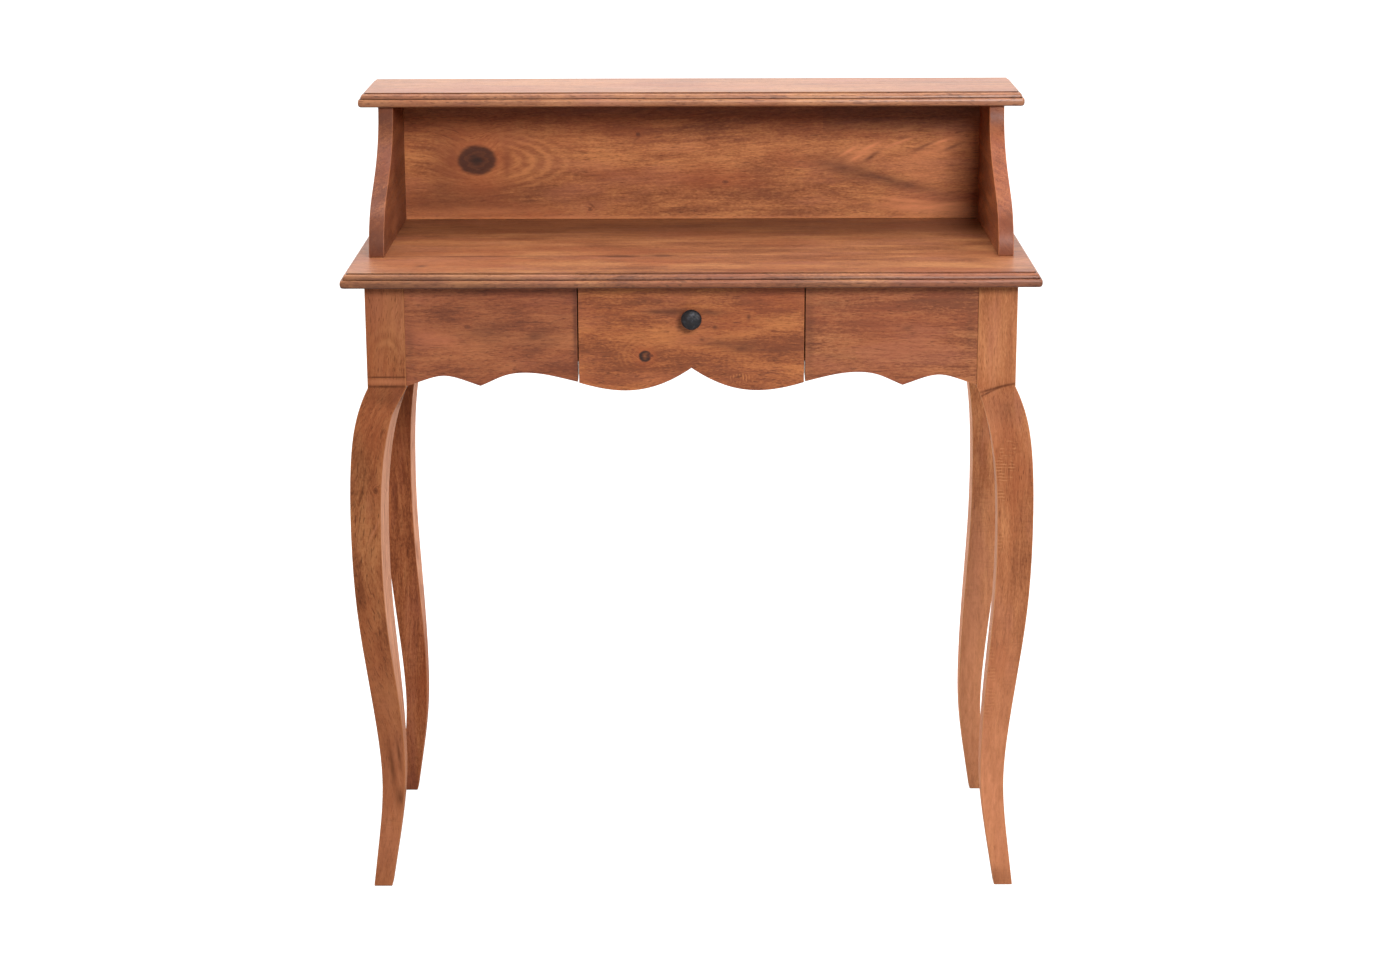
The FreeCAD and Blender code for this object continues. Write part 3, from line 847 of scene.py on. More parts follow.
@dataclass(frozen=True)
class BlackIron:
    """Cast iron with a black finish that is thin in spots; the paler spots on the raised dents stand both
    for metal showing through and for painted highlights.
    """

    name: str = "black_iron"
    body: Colour = srgb(25, 25, 30)
    brown: Colour = srgb(40, 33, 33)
    rubbed_and_lit: Colour = srgb(92, 90, 96)
    skin: Figure = Figure((900.0, 900.0, 900.0), 4.0, 0.6, share=0.9)
    patch: Figure = Figure((160.0, 160.0, 160.0), 3.0, low=0.42, high=0.7)
    dents: Figure = Figure((300.0, 300.0, 300.0), low=0.5, high=0.72)
    rub_and_highlight_floor: float = 0.35
    rub_highlight_share: float = 0.5
    metal: float = 0.35
    rub_metal: float = 0.3
    roughness: float = 0.40
    skin_rough: float = 0.18
    rub_polish: float = 0.12
    skin_height: float = 0.25
    relief: float = 1.2 * MM
    relief_strength: float = 0.6

    def dress(self) -> bpy.types.Material:
        """Builds the material of the knob."""
        sheet = ShaderSheet.of_material(self.name)
        place = sheet.place()
        skin = sheet.cloud(place, self.skin)
        dents = sheet.cloud(place, self.dents)
        colour = sheet.blended(sheet.mask(place, self.patch), self.body, self.brown)
        # Paler spots on the raised dents: metal showing through, and painted highlights.
        bare = dents.step(self.dents.low, self.dents.high)
        rub_and_highlight = (bare * (self.rub_and_highlight_floor + skin * self.skin.share)).clipped()
        return sheet.finish(
            {
                "Base Color": sheet.blended(rub_and_highlight * self.rub_highlight_share, colour, self.rubbed_and_lit),
                "Metallic": self.metal + rub_and_highlight * self.rub_metal,
                "Roughness": self.roughness + skin * self.skin_rough - rub_and_highlight * self.rub_polish,
                "Normal": sheet.bumped(skin * self.skin_height + dents, self.relief, self.relief_strength),
            }
        )


@dataclass(frozen=True)
class ZincSteel:
    """Zinc-plated steel, brushed and a little dull."""

    name: str = "zinc_steel"
    bright: Colour = srgb(186, 184, 176)
    dull: Colour = srgb(128, 122, 112)
    brushing: Figure = Figure((2600.0, 500.0, 500.0), 3.0)
    stain: Figure = Figure((240.0, 240.0, 240.0), 3.0, 0.6, share=0.25, low=0.4, high=0.7)
    roughness: float = 0.28
    relief: float = 0.05 * MM
    relief_strength: float = 0.4

    def dress(self) -> bpy.types.Material:
        """Builds the material of screws and pins."""
        sheet = ShaderSheet.of_material(self.name)
        place = sheet.place()
        brushing = sheet.cloud(place, self.brushing)
        stain = sheet.cloud(place, self.stain)
        return sheet.finish(
            {
                "Base Color": sheet.blended(
                    stain.step(self.stain.low, self.stain.high), self.bright, self.dull
                ),
                "Metallic": 1.0,
                "Roughness": self.roughness + stain * self.stain.share,
                "Normal": sheet.bumped(brushing, self.relief, self.relief_strength),
            }
        )


@dataclass(frozen=True)
class StudioPaper:
    """Seamless white paper under the desk, brightly lit behind it and overexposed as the camera sees it."""

    name: str = "studio_paper"
    white: Colour = srgb(168, 168, 168)
    tooth: Colour = srgb(160, 160, 160)
    dim: Colour = (0.0, 0.0, 0.0, 1.0)
    glow: Colour = (0.9, 0.9, 0.9, 1.0)
    grain: Figure = Figure((60.0, 60.0, 60.0), 4.0)
    roughness: float = 0.9
    lit_from: float = 0.2
    lit_to: float = 1.2

    def dress(self) -> bpy.types.Material:
        """Builds the floor's material."""
        sheet = ShaderSheet.of_material(self.name)
        place = sheet.place()
        behind = sheet.parts(place)[1].step(self.lit_from, self.lit_to)
        return sheet.finish(
            {
                "Base Color": sheet.blended(sheet.cloud(place, self.grain), self.white, self.tooth),
                "Roughness": self.roughness,
                "Specular IOR Level": 0.0,
                "Emission Color": sheet.blended((sheet.seen() + behind).clipped(), self.dim, self.glow),
                "Emission Strength": 1.0,
            }
        )


# Shaping


@dataclass(frozen=True)
class Ring:
    """A level rectangle that a block passes through, with its two front corners rounded."""

    left: float
    right: float
    front: float
    rear: float
    height: float
    rounding: float
    corner_share = 0.1

    def spot(self, across: float, back: float) -> Vector:
        """Finds the place of a point of the unit square.

        Args:
            across: From -0.5 at the left end to 0.5 at the right end.
            back: From -0.5 at the front to 0.5 at the rear.

        Returns:
            The point on the ring.
        """
        half = (self.right - self.left) / 2
        flat_share = 0.5 - self.corner_share
        over = max(abs(across) - flat_share, 0) / self.corner_share
        reach = min(abs(across) / flat_share, 1) * (half - self.rounding) + over * self.rounding
        near = min((back + 0.5) / self.corner_share, 1) * self.rounding
        far_share = max(back + 0.5 - self.corner_share, 0) / (1 - self.corner_share)
        far = far_share * (self.rear - self.front - self.rounding)
        middle = (self.left + self.right) / 2
        return Vector((middle + math.copysign(reach, across), self.front + near + far, self.height))


class Shaper:
    """The bench work that every piece shares: copying, building up, softening edges and placing."""

    sharp_angle = math.radians(28)
    flat_angle = math.radians(0.4)
    smallest_edge = 1.9 * MM
    weld = 0.01 * MM
    crease_angle = math.radians(38)
    broad_limit = 0.999
    corner_segments = 4

    @classmethod
    def copied(cls, *nodes: str) -> Mesh:
        """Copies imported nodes, with their triangles joined into whole faces.

        Args:
            nodes: The nodes' names.

        Returns:
            The copy.
        """
        bm = bmesh.new()
        for node in nodes:
            bm.from_mesh(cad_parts[node].data)
        bmesh.ops.remove_doubles(bm, verts=bm.verts, dist=cls.weld)
        bmesh.ops.dissolve_limit(bm, angle_limit=cls.flat_angle, verts=bm.verts, edges=bm.edges)
        cls.add_layers(bm)
        return bm

    @staticmethod
    def add_layers(bm: Mesh) -> None:
        """Gives the faces the layers that the finishes read."""
        for layer in (ARRIS_LAYER, MOULDING_SHADE_LAYER, SAWN_SHEEN_LAYER):
            bm.faces.layers.float.new(layer)

    @classmethod
    def built_up(cls, rings: Sequence[Ring], cuts: int) -> Mesh:
        """Builds a board by drawing one face up through a row of rectangles.

        Args:
            rings: The rectangles, from the bottom to the top.
            cuts: How often the front and rear edges are cut up.

        Returns:
            The closed board, with the number of each level still in its vertices' order.
        """
        bm = bmesh.new()
        cls.add_layers(bm)
        bmesh.ops.create_grid(bm, x_segments=1, y_segments=1, size=0.5)
        bmesh.ops.bevel(
            bm,
            geom=[vert for vert in bm.verts if vert.co.y < 0],
            offset=Ring.corner_share,
            offset_type="OFFSET",
            segments=cls.corner_segments,
            profile=0.5,
            affect="VERTICES",
            material=-1,
        )
        long_edges = [edge for edge in bm.edges if abs(edge.verts[0].co.x - edge.verts[1].co.x) > 0.5]
        bmesh.ops.subdivide_edges(bm, edges=long_edges, cuts=cuts)
        faces = bm.faces[:]
        for _ in rings[1:]:
            made = bmesh.ops.extrude_face_region(bm, geom=faces)["geom"]
            faces = [item for item in made if isinstance(item, bmesh.types.BMFace)]
            lifted = {vert for face in faces for vert in face.verts}
            bmesh.ops.translate(bm, vec=(0, 0, 1), verts=list(lifted))
        return bm

    @staticmethod
    def settle(bm: Mesh, rings: Sequence[Ring]) -> None:
        """Moves a board from its unit square and numbered levels to its rectangles."""
        for vert in bm.verts:
            vert.co = rings[round(vert.co.z)].spot(vert.co.x, vert.co.y)
        bmesh.ops.recalc_face_normals(bm, faces=bm.faces)

    @classmethod
    def arrises(cls, bm: Mesh, smallest_face: float, outline: int | None) -> list[bmesh.types.BMEdge]:
        """Finds the outer edges that a hand would soften, leaving out small holes.

        Args:
            bm: The piece.
            smallest_face: Edges of a face smaller than this are left sharp, unless they are on the outline.
            outline: The axis that the piece's sawn outline is seen along, if it has one.

        Returns:
            The edges.
        """
        found = []
        done = bm.faces.layers.float[ARRIS_LAYER]
        for edge in bm.edges:
            faces = edge.link_faces
            if len(faces) != 2 or not edge.is_convex or edge.calc_face_angle() < cls.sharp_angle:
                continue
            if any(face[done] for face in faces):
                continue
            level = 0.0 if outline is None else max(abs(face.normal[outline]) for face in faces)
            broad = level > cls.broad_limit
            large = min(face.calc_area() for face in faces) > smallest_face
            if broad or (large and edge.calc_length() > cls.smallest_edge):
                found.append(edge)
        return found

    @staticmethod
    def soften(bm: Mesh, edges: list[bmesh.types.BMEdge], width: float, segments: int = 2) -> None:
        """Rounds edges and marks the new faces as arrises.

        Args:
            bm: The piece.
            edges: The edges to round.
            width: How far the rounding reaches on each face, in metres.
            segments: How many faces the rounding has.
        """
        made = bmesh.ops.bevel(
            bm,
            geom=edges,
            offset=width,
            offset_type="OFFSET",
            segments=segments,
            profile=0.5,
            affect="EDGES",
            clamp_overlap=True,
            material=-1,
        )
        layer = bm.faces.layers.float[ARRIS_LAYER]
        for face in made["faces"]:
            face[layer] = 1.0

    @classmethod
    def place(
        cls, bm: Mesh, name: str, body: str, slot: str, material: bpy.types.Material, nodes: Iterable[str]
    ) -> bpy.types.Object:
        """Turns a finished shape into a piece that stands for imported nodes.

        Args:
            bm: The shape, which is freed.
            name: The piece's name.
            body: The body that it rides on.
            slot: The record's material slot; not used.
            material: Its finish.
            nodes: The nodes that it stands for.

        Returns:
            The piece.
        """
        mesh = bpy.data.meshes.new(name)
        bm.to_mesh(mesh)
        bm.free()
        mesh.shade_smooth()
        mesh.set_sharp_from_angle(angle=cls.crease_angle)
        mesh.materials.append(material)
        piece = bpy.data.objects.new(name, mesh)
        bpy.context.scene.collection.objects.link(piece)
        weighted = piece.modifiers.new("even_shading", "WEIGHTED_NORMAL")
        weighted.keep_sharp = True
        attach(piece, body)
        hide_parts(*nodes)
        log.info("%s: %d faces on %s", name, len(mesh.polygons), body)
        return piece


# Sub-assemblies


@dataclass(frozen=True)
class Moulding:
    """A point of a moulding: its set-in, its drop from the top and the painted shade on the face under it.
    """

    set_in: float
    drop: float
    painted_shade: float = 0.0


@dataclass
class MouldedBoard:
    """A board with a quirk, an ovolo, a ledge and a bead worked on its front and ends."""

    node: str
    timber: Timber
    top_set_in: float = 8.0 * MM
    quirk: float = 1.5 * MM
    ovolo_drop: float = 7.8 * MM
    ovolo_set_in: float = 2.8 * MM
    bead_top: float = 1.4 * MM
    bead_under: float = 2.4 * MM
    groove: float = 0.8 * MM
    # Painted shade: how far the faces of the bead, ledge, groove, ovolo and quirk are darkened, standing
    # for shade in the grooves and on the faces that turn away from the light; the bead's upward faces are
    # left clear.
    bead_shade: float = 0.25
    ovolo_shade: float = 0.4
    ledge_shade: float = 0.4
    groove_shade: float = 0.7
    quirk_shade: float = 0.35
    top_edge_shade: float = 0.4
    shade_clear_from: float = 0.6
    corner_round: float = 3.0 * MM
    steps: int = 8
    cuts: int = 72
    wobble: float = 0.55 * MM
    slow_waves: float = 6.0
    quick_waves: float = 31.0
    quick_share: float = 0.35
    rear_limit: float = 0.49

    def profile(self, thickness: float) -> list[Moulding]:
        """Lists the moulding's points from the underside up.

        Args:
            thickness: The board's thickness in metres.

        Returns:
            The points.
        """
        points = []
        half = (thickness - self.ovolo_drop) / 2
        for step in range(self.steps + 1):
            turn = math.pi * (step / self.steps - 0.5)
            lean = self.bead_under if turn < 0 else self.bead_top
            # Painted shade on the bead's faces that do not turn upwards.
            painted_shade = self.bead_shade if math.sin(turn) < self.shade_clear_from else 0.0
            drop = thickness - half * (1 + math.sin(turn))
            points.append(Moulding(lean * (1 - math.cos(turn)), drop, painted_shade))
        ovolo_foot = self.ovolo_drop - self.groove
        points.append(Moulding(self.ovolo_set_in + self.groove, self.ovolo_drop, self.ledge_shade))
        points.append(Moulding(self.ovolo_set_in, ovolo_foot, self.groove_shade))
        ovolo_top = self.top_set_in - self.groove
        for step in range(1, self.steps + 1):
            turn = math.pi / 2 * step / self.steps
            set_in = self.ovolo_set_in + (ovolo_top - self.ovolo_set_in) * (1 - math.cos(turn))
            drop = ovolo_foot - (ovolo_foot - self.quirk) * math.sin(turn)
            # Painted shade on the ovolo's lower faces, fading out upwards.
            painted_shade = self.ovolo_shade * max(0.0, 1.0 - 2.0 * (step - 1) / self.steps)
            points.append(Moulding(set_in, drop, painted_shade))
        points.append(Moulding(self.top_set_in, self.quirk + self.groove, self.quirk_shade))
        points.append(Moulding(self.top_set_in, 0.0, self.top_edge_shade))
        return points

    def build(self) -> None:
        """Builds the board, lets its moulded lines waver as hand work does, and dresses it."""
        low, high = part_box(self.node)
        profile = self.profile(high.z - low.z)
        rings = [
            Ring(
                low.x + point.set_in,
                high.x - point.set_in,
                low.y + point.set_in,
                high.y,
                high.z - point.drop,
                self.corner_round,
            )
            for point in profile
        ]
        bm = Shaper.built_up(rings, self.cuts)
        # Each moulded face is darkened by the painted shade of the profile point at its top; the rear edge
        # is left clear.
        hollow = bm.faces.layers.float[MOULDING_SHADE_LAYER]
        for face in bm.faces:
            levels = [vert.co.z for vert in face.verts]
            at_rear = min(vert.co.y for vert in face.verts) > self.rear_limit
            if max(levels) > min(levels) and not at_rear:
                face[hollow] = profile[round(max(levels))].painted_shade
        Shaper.settle(bm, rings)
        self.waver(bm, low, high)
        Shaper.place(bm, self.node, "desk", "frame_wood", self.timber.dress(), [self.node])

    def waver(self, bm: Mesh, low: Vector, high: Vector) -> None:
        """Shifts the moulded lines a little, and never outwards.

        Args:
            bm: The board.
            low: The board's lowest corner.
            high: The board's highest corner.
        """
        for vert in bm.verts:
            drop = high.z - vert.co.z
            if self.quirk / 2 < drop < high.z - low.z - self.quirk:
                spot = Vector((vert.co.x, vert.co.y, high.z + drop))
                slow = noise.noise(spot * self.slow_waves)
                quick = noise.noise(spot * self.quick_waves)
                vert.co.z += (slow + self.quick_share * quick) * self.wobble
                if vert.co.y < low.y + 2 * self.top_set_in:
                    vert.co.y += abs(quick) * self.wobble


@dataclass
class Board:
    """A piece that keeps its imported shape, with its arrises softened."""

    node: str
    timber: Timber
    body: str = "desk"
    slot: str = "frame_wood"
    arris: float = 0.8 * MM
    segments: int = 2
    smallest_face: float = 45 * MM * MM
    outline: int | None = None

    def build(self, material: bpy.types.Material | None = None) -> None:
        """Builds and dresses the piece.

        Args:
            material: A finish that is already made, or none to make this board's own.
        """
        bm = Shaper.copied(self.node)
        self.ease(bm)
        edges = Shaper.arrises(bm, self.smallest_face, self.outline)
        Shaper.soften(bm, edges, self.arris, self.segments)
        finish = material or self.timber.dress()
        Shaper.place(bm, self.node, self.body, self.slot, finish, [self.node])

    def ease(self, bm: Mesh) -> None:
        """Leaves the piece as it is, where no edge is eased before the others."""


@dataclass
class Leg(Board):
    """A leg, whose inner side is sawn a little out of square below the post and painted paler, as paler
    sawn wood and as a painted sheen.
    """

    arris: float = 1.8 * MM
    segments: int = 3
    smallest_face: float = 1 * MM * MM
    skew: float = 0.0
    reach: float = 30.0 * MM
    post_foot: float = 612.0 * MM
    run_out: float = 25.0 * MM
    square_below: float = 190.0 * MM
    fade: float = 130.0 * MM
    inner_limit: float = 0.6
    front_limit: float = -0.5
    sawn_sheen_from: float = 0.5
    sawn_sheen_span: float = 0.3

    def skewed_at(self, height: float) -> float:
        """How strongly the inner side is skewed at a height: less near the post and the foot."""
        near_post = (self.post_foot - height) / self.run_out
        near_foot = (height - self.square_below) / self.fade
        return min(max(min(near_post, near_foot), 0.0), 1.0)

    def ease(self, bm: Mesh) -> None:
        """Marks the leg's inner side for a paler tint, standing for sawn wood and a painted sheen, and
        draws its front edge back into the leg.
        """
        low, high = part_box(self.node)
        inward = -math.copysign(1.0, low.x + high.x)
        sawn = bm.faces.layers.float[SAWN_SHEEN_LAYER]
        corner = set()
        for face in bm.faces:
            below = max(vert.co.z for vert in face.verts) < self.post_foot + self.arris
            facing = face.normal.x * inward
            if facing < self.inner_limit or not below:
                continue
            # How strongly the face's paler tint shows, standing for sawn wood and a painted sheen, grows as
            # the face turns inwards.
            face[sawn] = min((facing - self.sawn_sheen_from) / self.sawn_sheen_span, 1.0)
            for edge in face.edges:
                if any(other.normal.y < self.front_limit for other in edge.link_faces):
                    corner.update(edge.verts)
        line = sorted((vert.co.copy() for vert in corner), key=lambda spot: -spot.z)
        for vert in bm.verts:
            amount = self.skew * self.skewed_at(vert.co.z)
            off = vert.co - self.line_at(line, vert.co.z)
            share = max(1 - abs(off.x) / self.reach, 0.0) * max(1 - abs(off.y) / self.reach, 0.0)
            vert.co.x -= inward * amount * share

    @staticmethod
    def line_at(line: Sequence[Vector], height: float) -> Vector:
        """Finds where a line that runs down a leg is at a height.

        Args:
            line: The line's points, from the highest to the lowest.
            height: The height.

        Returns:
            The place on the line, or the nearer end of it.
        """
        for above, below in zip(line, line[1:]):
            if below.z < height <= above.z:
                return above.lerp(below, (above.z - height) / (above.z - below.z))
        return line[0] if height > line[0].z else line[-1]


@dataclass
class Gallery:
    """The raised shelf: two scrolled brackets, a back panel and a moulded shelf."""

    shelf: Timber
    back: Timber
    left: Timber
    right: Timber
    back_arris: float = 0.8 * MM
    bracket_arris: float = 0.9 * MM
    bracket_segments: int = 3

    def build(self) -> None:
        """Builds the four boards."""
        MouldedBoard("upper_shelf", self.shelf).build()
        Board("gallery_back", self.back, arris=self.back_arris).build()
        for side, timber in (("left", self.left), ("right", self.right)):
            node = "gallery_side_" + side
            Board(
                node, timber, arris=self.bracket_arris, segments=self.bracket_segments, outline=0
            ).build()


@dataclass
class Base:
    """The legs and the aprons between them."""

    legs: Sequence[Leg]
    aprons: Mapping[str, Timber]
    apron_arris: float = 0.7 * MM

    def build(self) -> None:
        """Builds the legs and aprons."""
        for leg in self.legs:
            leg.build()
        for node, timber in self.aprons.items():
            Board(node, timber, arris=self.apron_arris).build()


@dataclass
class DrawerBay:
    """The hidden carcass work: dividers, runners, stops and corner blocks, in plain pale wood."""

    timbers: Mapping[Lie, Timber]
    arris: float = 0.6 * MM

    def build(self) -> None:
        """Builds the hidden pieces, which share two finishes."""
        made = {lie: timber.dress() for lie, timber in self.timbers.items()}
        pieces = [(stem + side, Lie.END) for stem in ("divider_", "runner_") for side in ("left", "right")]
        for side in ("left", "right"):
            pieces.append(("drawer_stop_" + side, Lie.FLAT))
            pieces += [("corner_block_" + end + "_" + side, Lie.FLAT) for end in ("front", "rear")]
        for node, lie in pieces:
            board = Board(node, self.timbers[lie], slot="lining_wood", arris=self.arris)
            board.build(made[lie])


@dataclass
class Drawer:
    """The drawer: a scalloped front on a dovetailed box, with a knob."""

    front: Timber
    sides: Timber
    back: Timber
    bottom: Timber
    iron: BlackIron
    knob_shares: tuple[tuple[float, float], ...] = (
        (0.62, 0.0), (0.62, 0.08), (0.47, 0.13), (0.40, 0.20), (0.40, 0.42), (0.52, 0.53),
        (0.78, 0.61), (0.96, 0.67), (1.0, 0.74), (0.97, 0.82), (0.88, 0.89), (0.74, 0.94),
        (0.55, 0.975), (0.30, 0.995), (0.0, 1.0),
    )
    knob_steps: int = 72
    front_arris: float = 0.7 * MM
    box_arris: float = 0.4 * MM
    rim_angle: float = math.radians(24)
    rim_round: float = 0.5 * MM
    rim_segments: int = 3

    def build(self) -> None:
        """Builds the drawer's boards and its knob."""
        Board("drawer_front", self.front, "drawer", arris=self.front_arris).build()
        for node, timber in (
            ("drawer_side_left", self.sides),
            ("drawer_side_right", self.sides),
            ("drawer_back", self.back),
            ("drawer_bottom", self.bottom),
        ):
            Board(node, timber, "drawer", "lining_wood", self.box_arris).build()
        self.build_knob()

    def build_knob(self) -> None:
        """Turns the knob about its axis, softens its rings and dresses it as iron."""
        low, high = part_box("drawer_knob")
        radius = (high.x - low.x) / 2
        length = high.y - low.y
        middle = (low + high) / 2
        bm = bmesh.new()
        Shaper.add_layers(bm)
        verts = [
            bm.verts.new((middle.x + radius * out, high.y - length * along, middle.z))
            for out, along in self.knob_shares
        ]
        edges = [bm.edges.new(pair) for pair in zip(verts, verts[1:])]
        bmesh.ops.spin(
            bm,
            geom=verts + edges,
            cent=(middle.x, high.y, middle.z),
            axis=(0, 1, 0),
            angle=2 * math.pi,
            steps=self.knob_steps,
            use_merge=True,
        )
        bmesh.ops.remove_doubles(bm, verts=bm.verts, dist=Shaper.weld)
        bmesh.ops.holes_fill(bm, edges=bm.edges, sides=self.knob_steps)
        bmesh.ops.recalc_face_normals(bm, faces=bm.faces)
        rim = [
            edge
            for edge in bm.edges
            if len(edge.link_faces) == 2 and edge.is_convex and edge.calc_face_angle() > self.rim_angle
        ]
        Shaper.soften(bm, rim, self.rim_round, self.rim_segments)
        Shaper.place(bm, "drawer_knob", "drawer", "knob_iron", self.iron.dress(), ["drawer_knob"])


class HeadWay(Enum):
    """Which way a screw's head faces."""

    DOWN = (0, 0, -1)
    BACK = (0, 1, 0)
    INWARD = (1, 0, 0)


@dataclass
class Fixings:
    """The slotted screws and pins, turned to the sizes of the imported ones."""

    steel: ZincSteel
    sides: int = 24
    proud: float = 0.15 * MM
    cover: float = 1.06
    slot_width_share: float = 0.13
    slot_depth_share: float = 0.35
    neck_share: float = 0.5
    head_depth_share: float = 0.8
    tip_share: float = 0.18
    shank_share: float = 0.48
    sunk_share: float = 0.6

    def build(self) -> None:
        """Builds every group of fixings."""
        material = self.steel.dress()
        for node, body, way in (
            ("desktop_screws", "desk", HeadWay.DOWN),
            ("gallery_screws", "desk", HeadWay.DOWN),
            ("gallery_back_pins", "desk", HeadWay.BACK),
            ("runner_screws", "desk", HeadWay.INWARD),
            ("drawer_bottom_screws", "drawer", HeadWay.DOWN),
            ("knob_screw", "drawer", HeadWay.BACK),
        ):
            bm = bmesh.new()
            Shaper.add_layers(bm)
            for low, high in self.boxes(node):
                facing = Vector(way.value)
                if way is HeadWay.INWARD and low.x > 0:
                    facing = -facing
                self.add_screw(bm, low, high, facing)
            Shaper.place(bm, node, body, "screw_steel", material, [node])

    def boxes(self, node: str) -> list[tuple[Vector, Vector]]:
        """Finds the box of each separate fixing in a node.

        Args:
            node: The node's name.

        Returns:
            The lowest and highest corner of each.
        """
        bm = Shaper.copied(node)
        left = set(bm.verts)
        found = []
        while left:
            island = {left.pop()}
            edge_of = list(island)
            while edge_of:
                vert = edge_of.pop()
                near = {edge.other_vert(vert) for edge in vert.link_edges} - island
                island |= near
                edge_of += near
            left -= island
            corners = [[vert.co[axis] for vert in island] for axis in range(3)]
            found.append((Vector(map(min, corners)), Vector(map(max, corners))))
        bm.free()
        return sorted(found, key=lambda pair: tuple(pair[0]))

    def add_screw(self, bm: Mesh, low: Vector, high: Vector, facing: Vector) -> None:
        """Adds one slotted screw that fills a box, with its head facing one way.

        Args:
            bm: The mesh that it is added to.
            low: The box's lowest corner.
            high: The box's highest corner.
            facing: The way that the head faces.
        """
        size = high - low
        length = abs(size.dot(facing))
        head = max(min(size.x, size.y), min(size.y, size.z), min(size.x, size.z)) / 2 * self.cover
        middle = (low + high) / 2
        top = middle + facing * (length / 2 + self.proud)
        cap = self.cone(bm, head * self.neck_share, head, 0.0, head * self.head_depth_share)
        sunk = head * self.sunk_share
        verts = self.cone(bm, head * self.tip_share, head * self.shank_share, -sunk, length - sunk)
        verts += cap + self.cut_slot(bm, cap, head)
        turn = Vector((0, 0, 1)).rotation_difference(facing).to_matrix().to_4x4()
        bmesh.ops.transform(bm, matrix=Matrix.Translation(top) @ turn, verts=list(set(verts)))

    def cone(
        self, bm: Mesh, lower: float, upper: float, top: float, depth: float
    ) -> list[bmesh.types.BMVert]:
        """Adds an upright cone about the origin.

        Args:
            bm: The mesh that it is added to.
            lower: Its radius at the lower end.
            upper: Its radius at the upper end.
            top: The height of its upper end.
            depth: How far it goes down from there.

        Returns:
            Its vertices.
        """
        made = bmesh.ops.create_cone(
            bm,
            cap_ends=True,
            segments=self.sides,
            radius1=lower,
            radius2=upper,
            depth=depth,
            matrix=Matrix.Translation((0, 0, top - depth / 2)),
        )
        return made["verts"]

    def cut_slot(
        self, bm: Mesh, verts: list[bmesh.types.BMVert], head: float
    ) -> list[bmesh.types.BMVert]:
        """Sinks a slot into a head that still faces up at the origin.

        Args:
            bm: The mesh.
            verts: The head's vertices.
            head: The head's radius.

        Returns:
            The vertices that the slot adds.
        """
        known = set(bm.verts)
        around = [face for vert in verts for face in vert.link_faces]
        cap = max(around, key=lambda face: face.calc_center_median().z)
        half = head * self.slot_width_share
        faces = [cap]
        for side in (-1, 1):
            geom = faces + list({edge for face in faces for edge in face.edges})
            geom += list({vert for face in faces for vert in face.verts})
            cut = bmesh.ops.bisect_plane(bm, geom=geom, plane_co=(0, side * half, 0), plane_no=(0, 1, 0))
            faces = [item for item in cut["geom"] if isinstance(item, bmesh.types.BMFace)]
        band = [face for face in faces if abs(face.calc_center_median().y) < half]
        sunk = bmesh.ops.extrude_face_region(bm, geom=band)["geom"]
        moved = [item for item in sunk if isinstance(item, bmesh.types.BMVert)]
        bmesh.ops.translate(bm, vec=(0, 0, -head * self.slot_depth_share), verts=moved)
        return [vert for vert in bm.verts if vert not in known]


@dataclass
class Dowels:
    """The hidden dowels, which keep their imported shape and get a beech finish."""

    timbers: Mapping[str, Timber]

    def build(self) -> None:
        """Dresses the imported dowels."""
        for node, timber in self.timbers.items():
            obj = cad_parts[node]
            obj.data.materials.clear()
            obj.data.materials.append(timber.dress())
            log.info("%s: packed shape kept", node)


# The studio


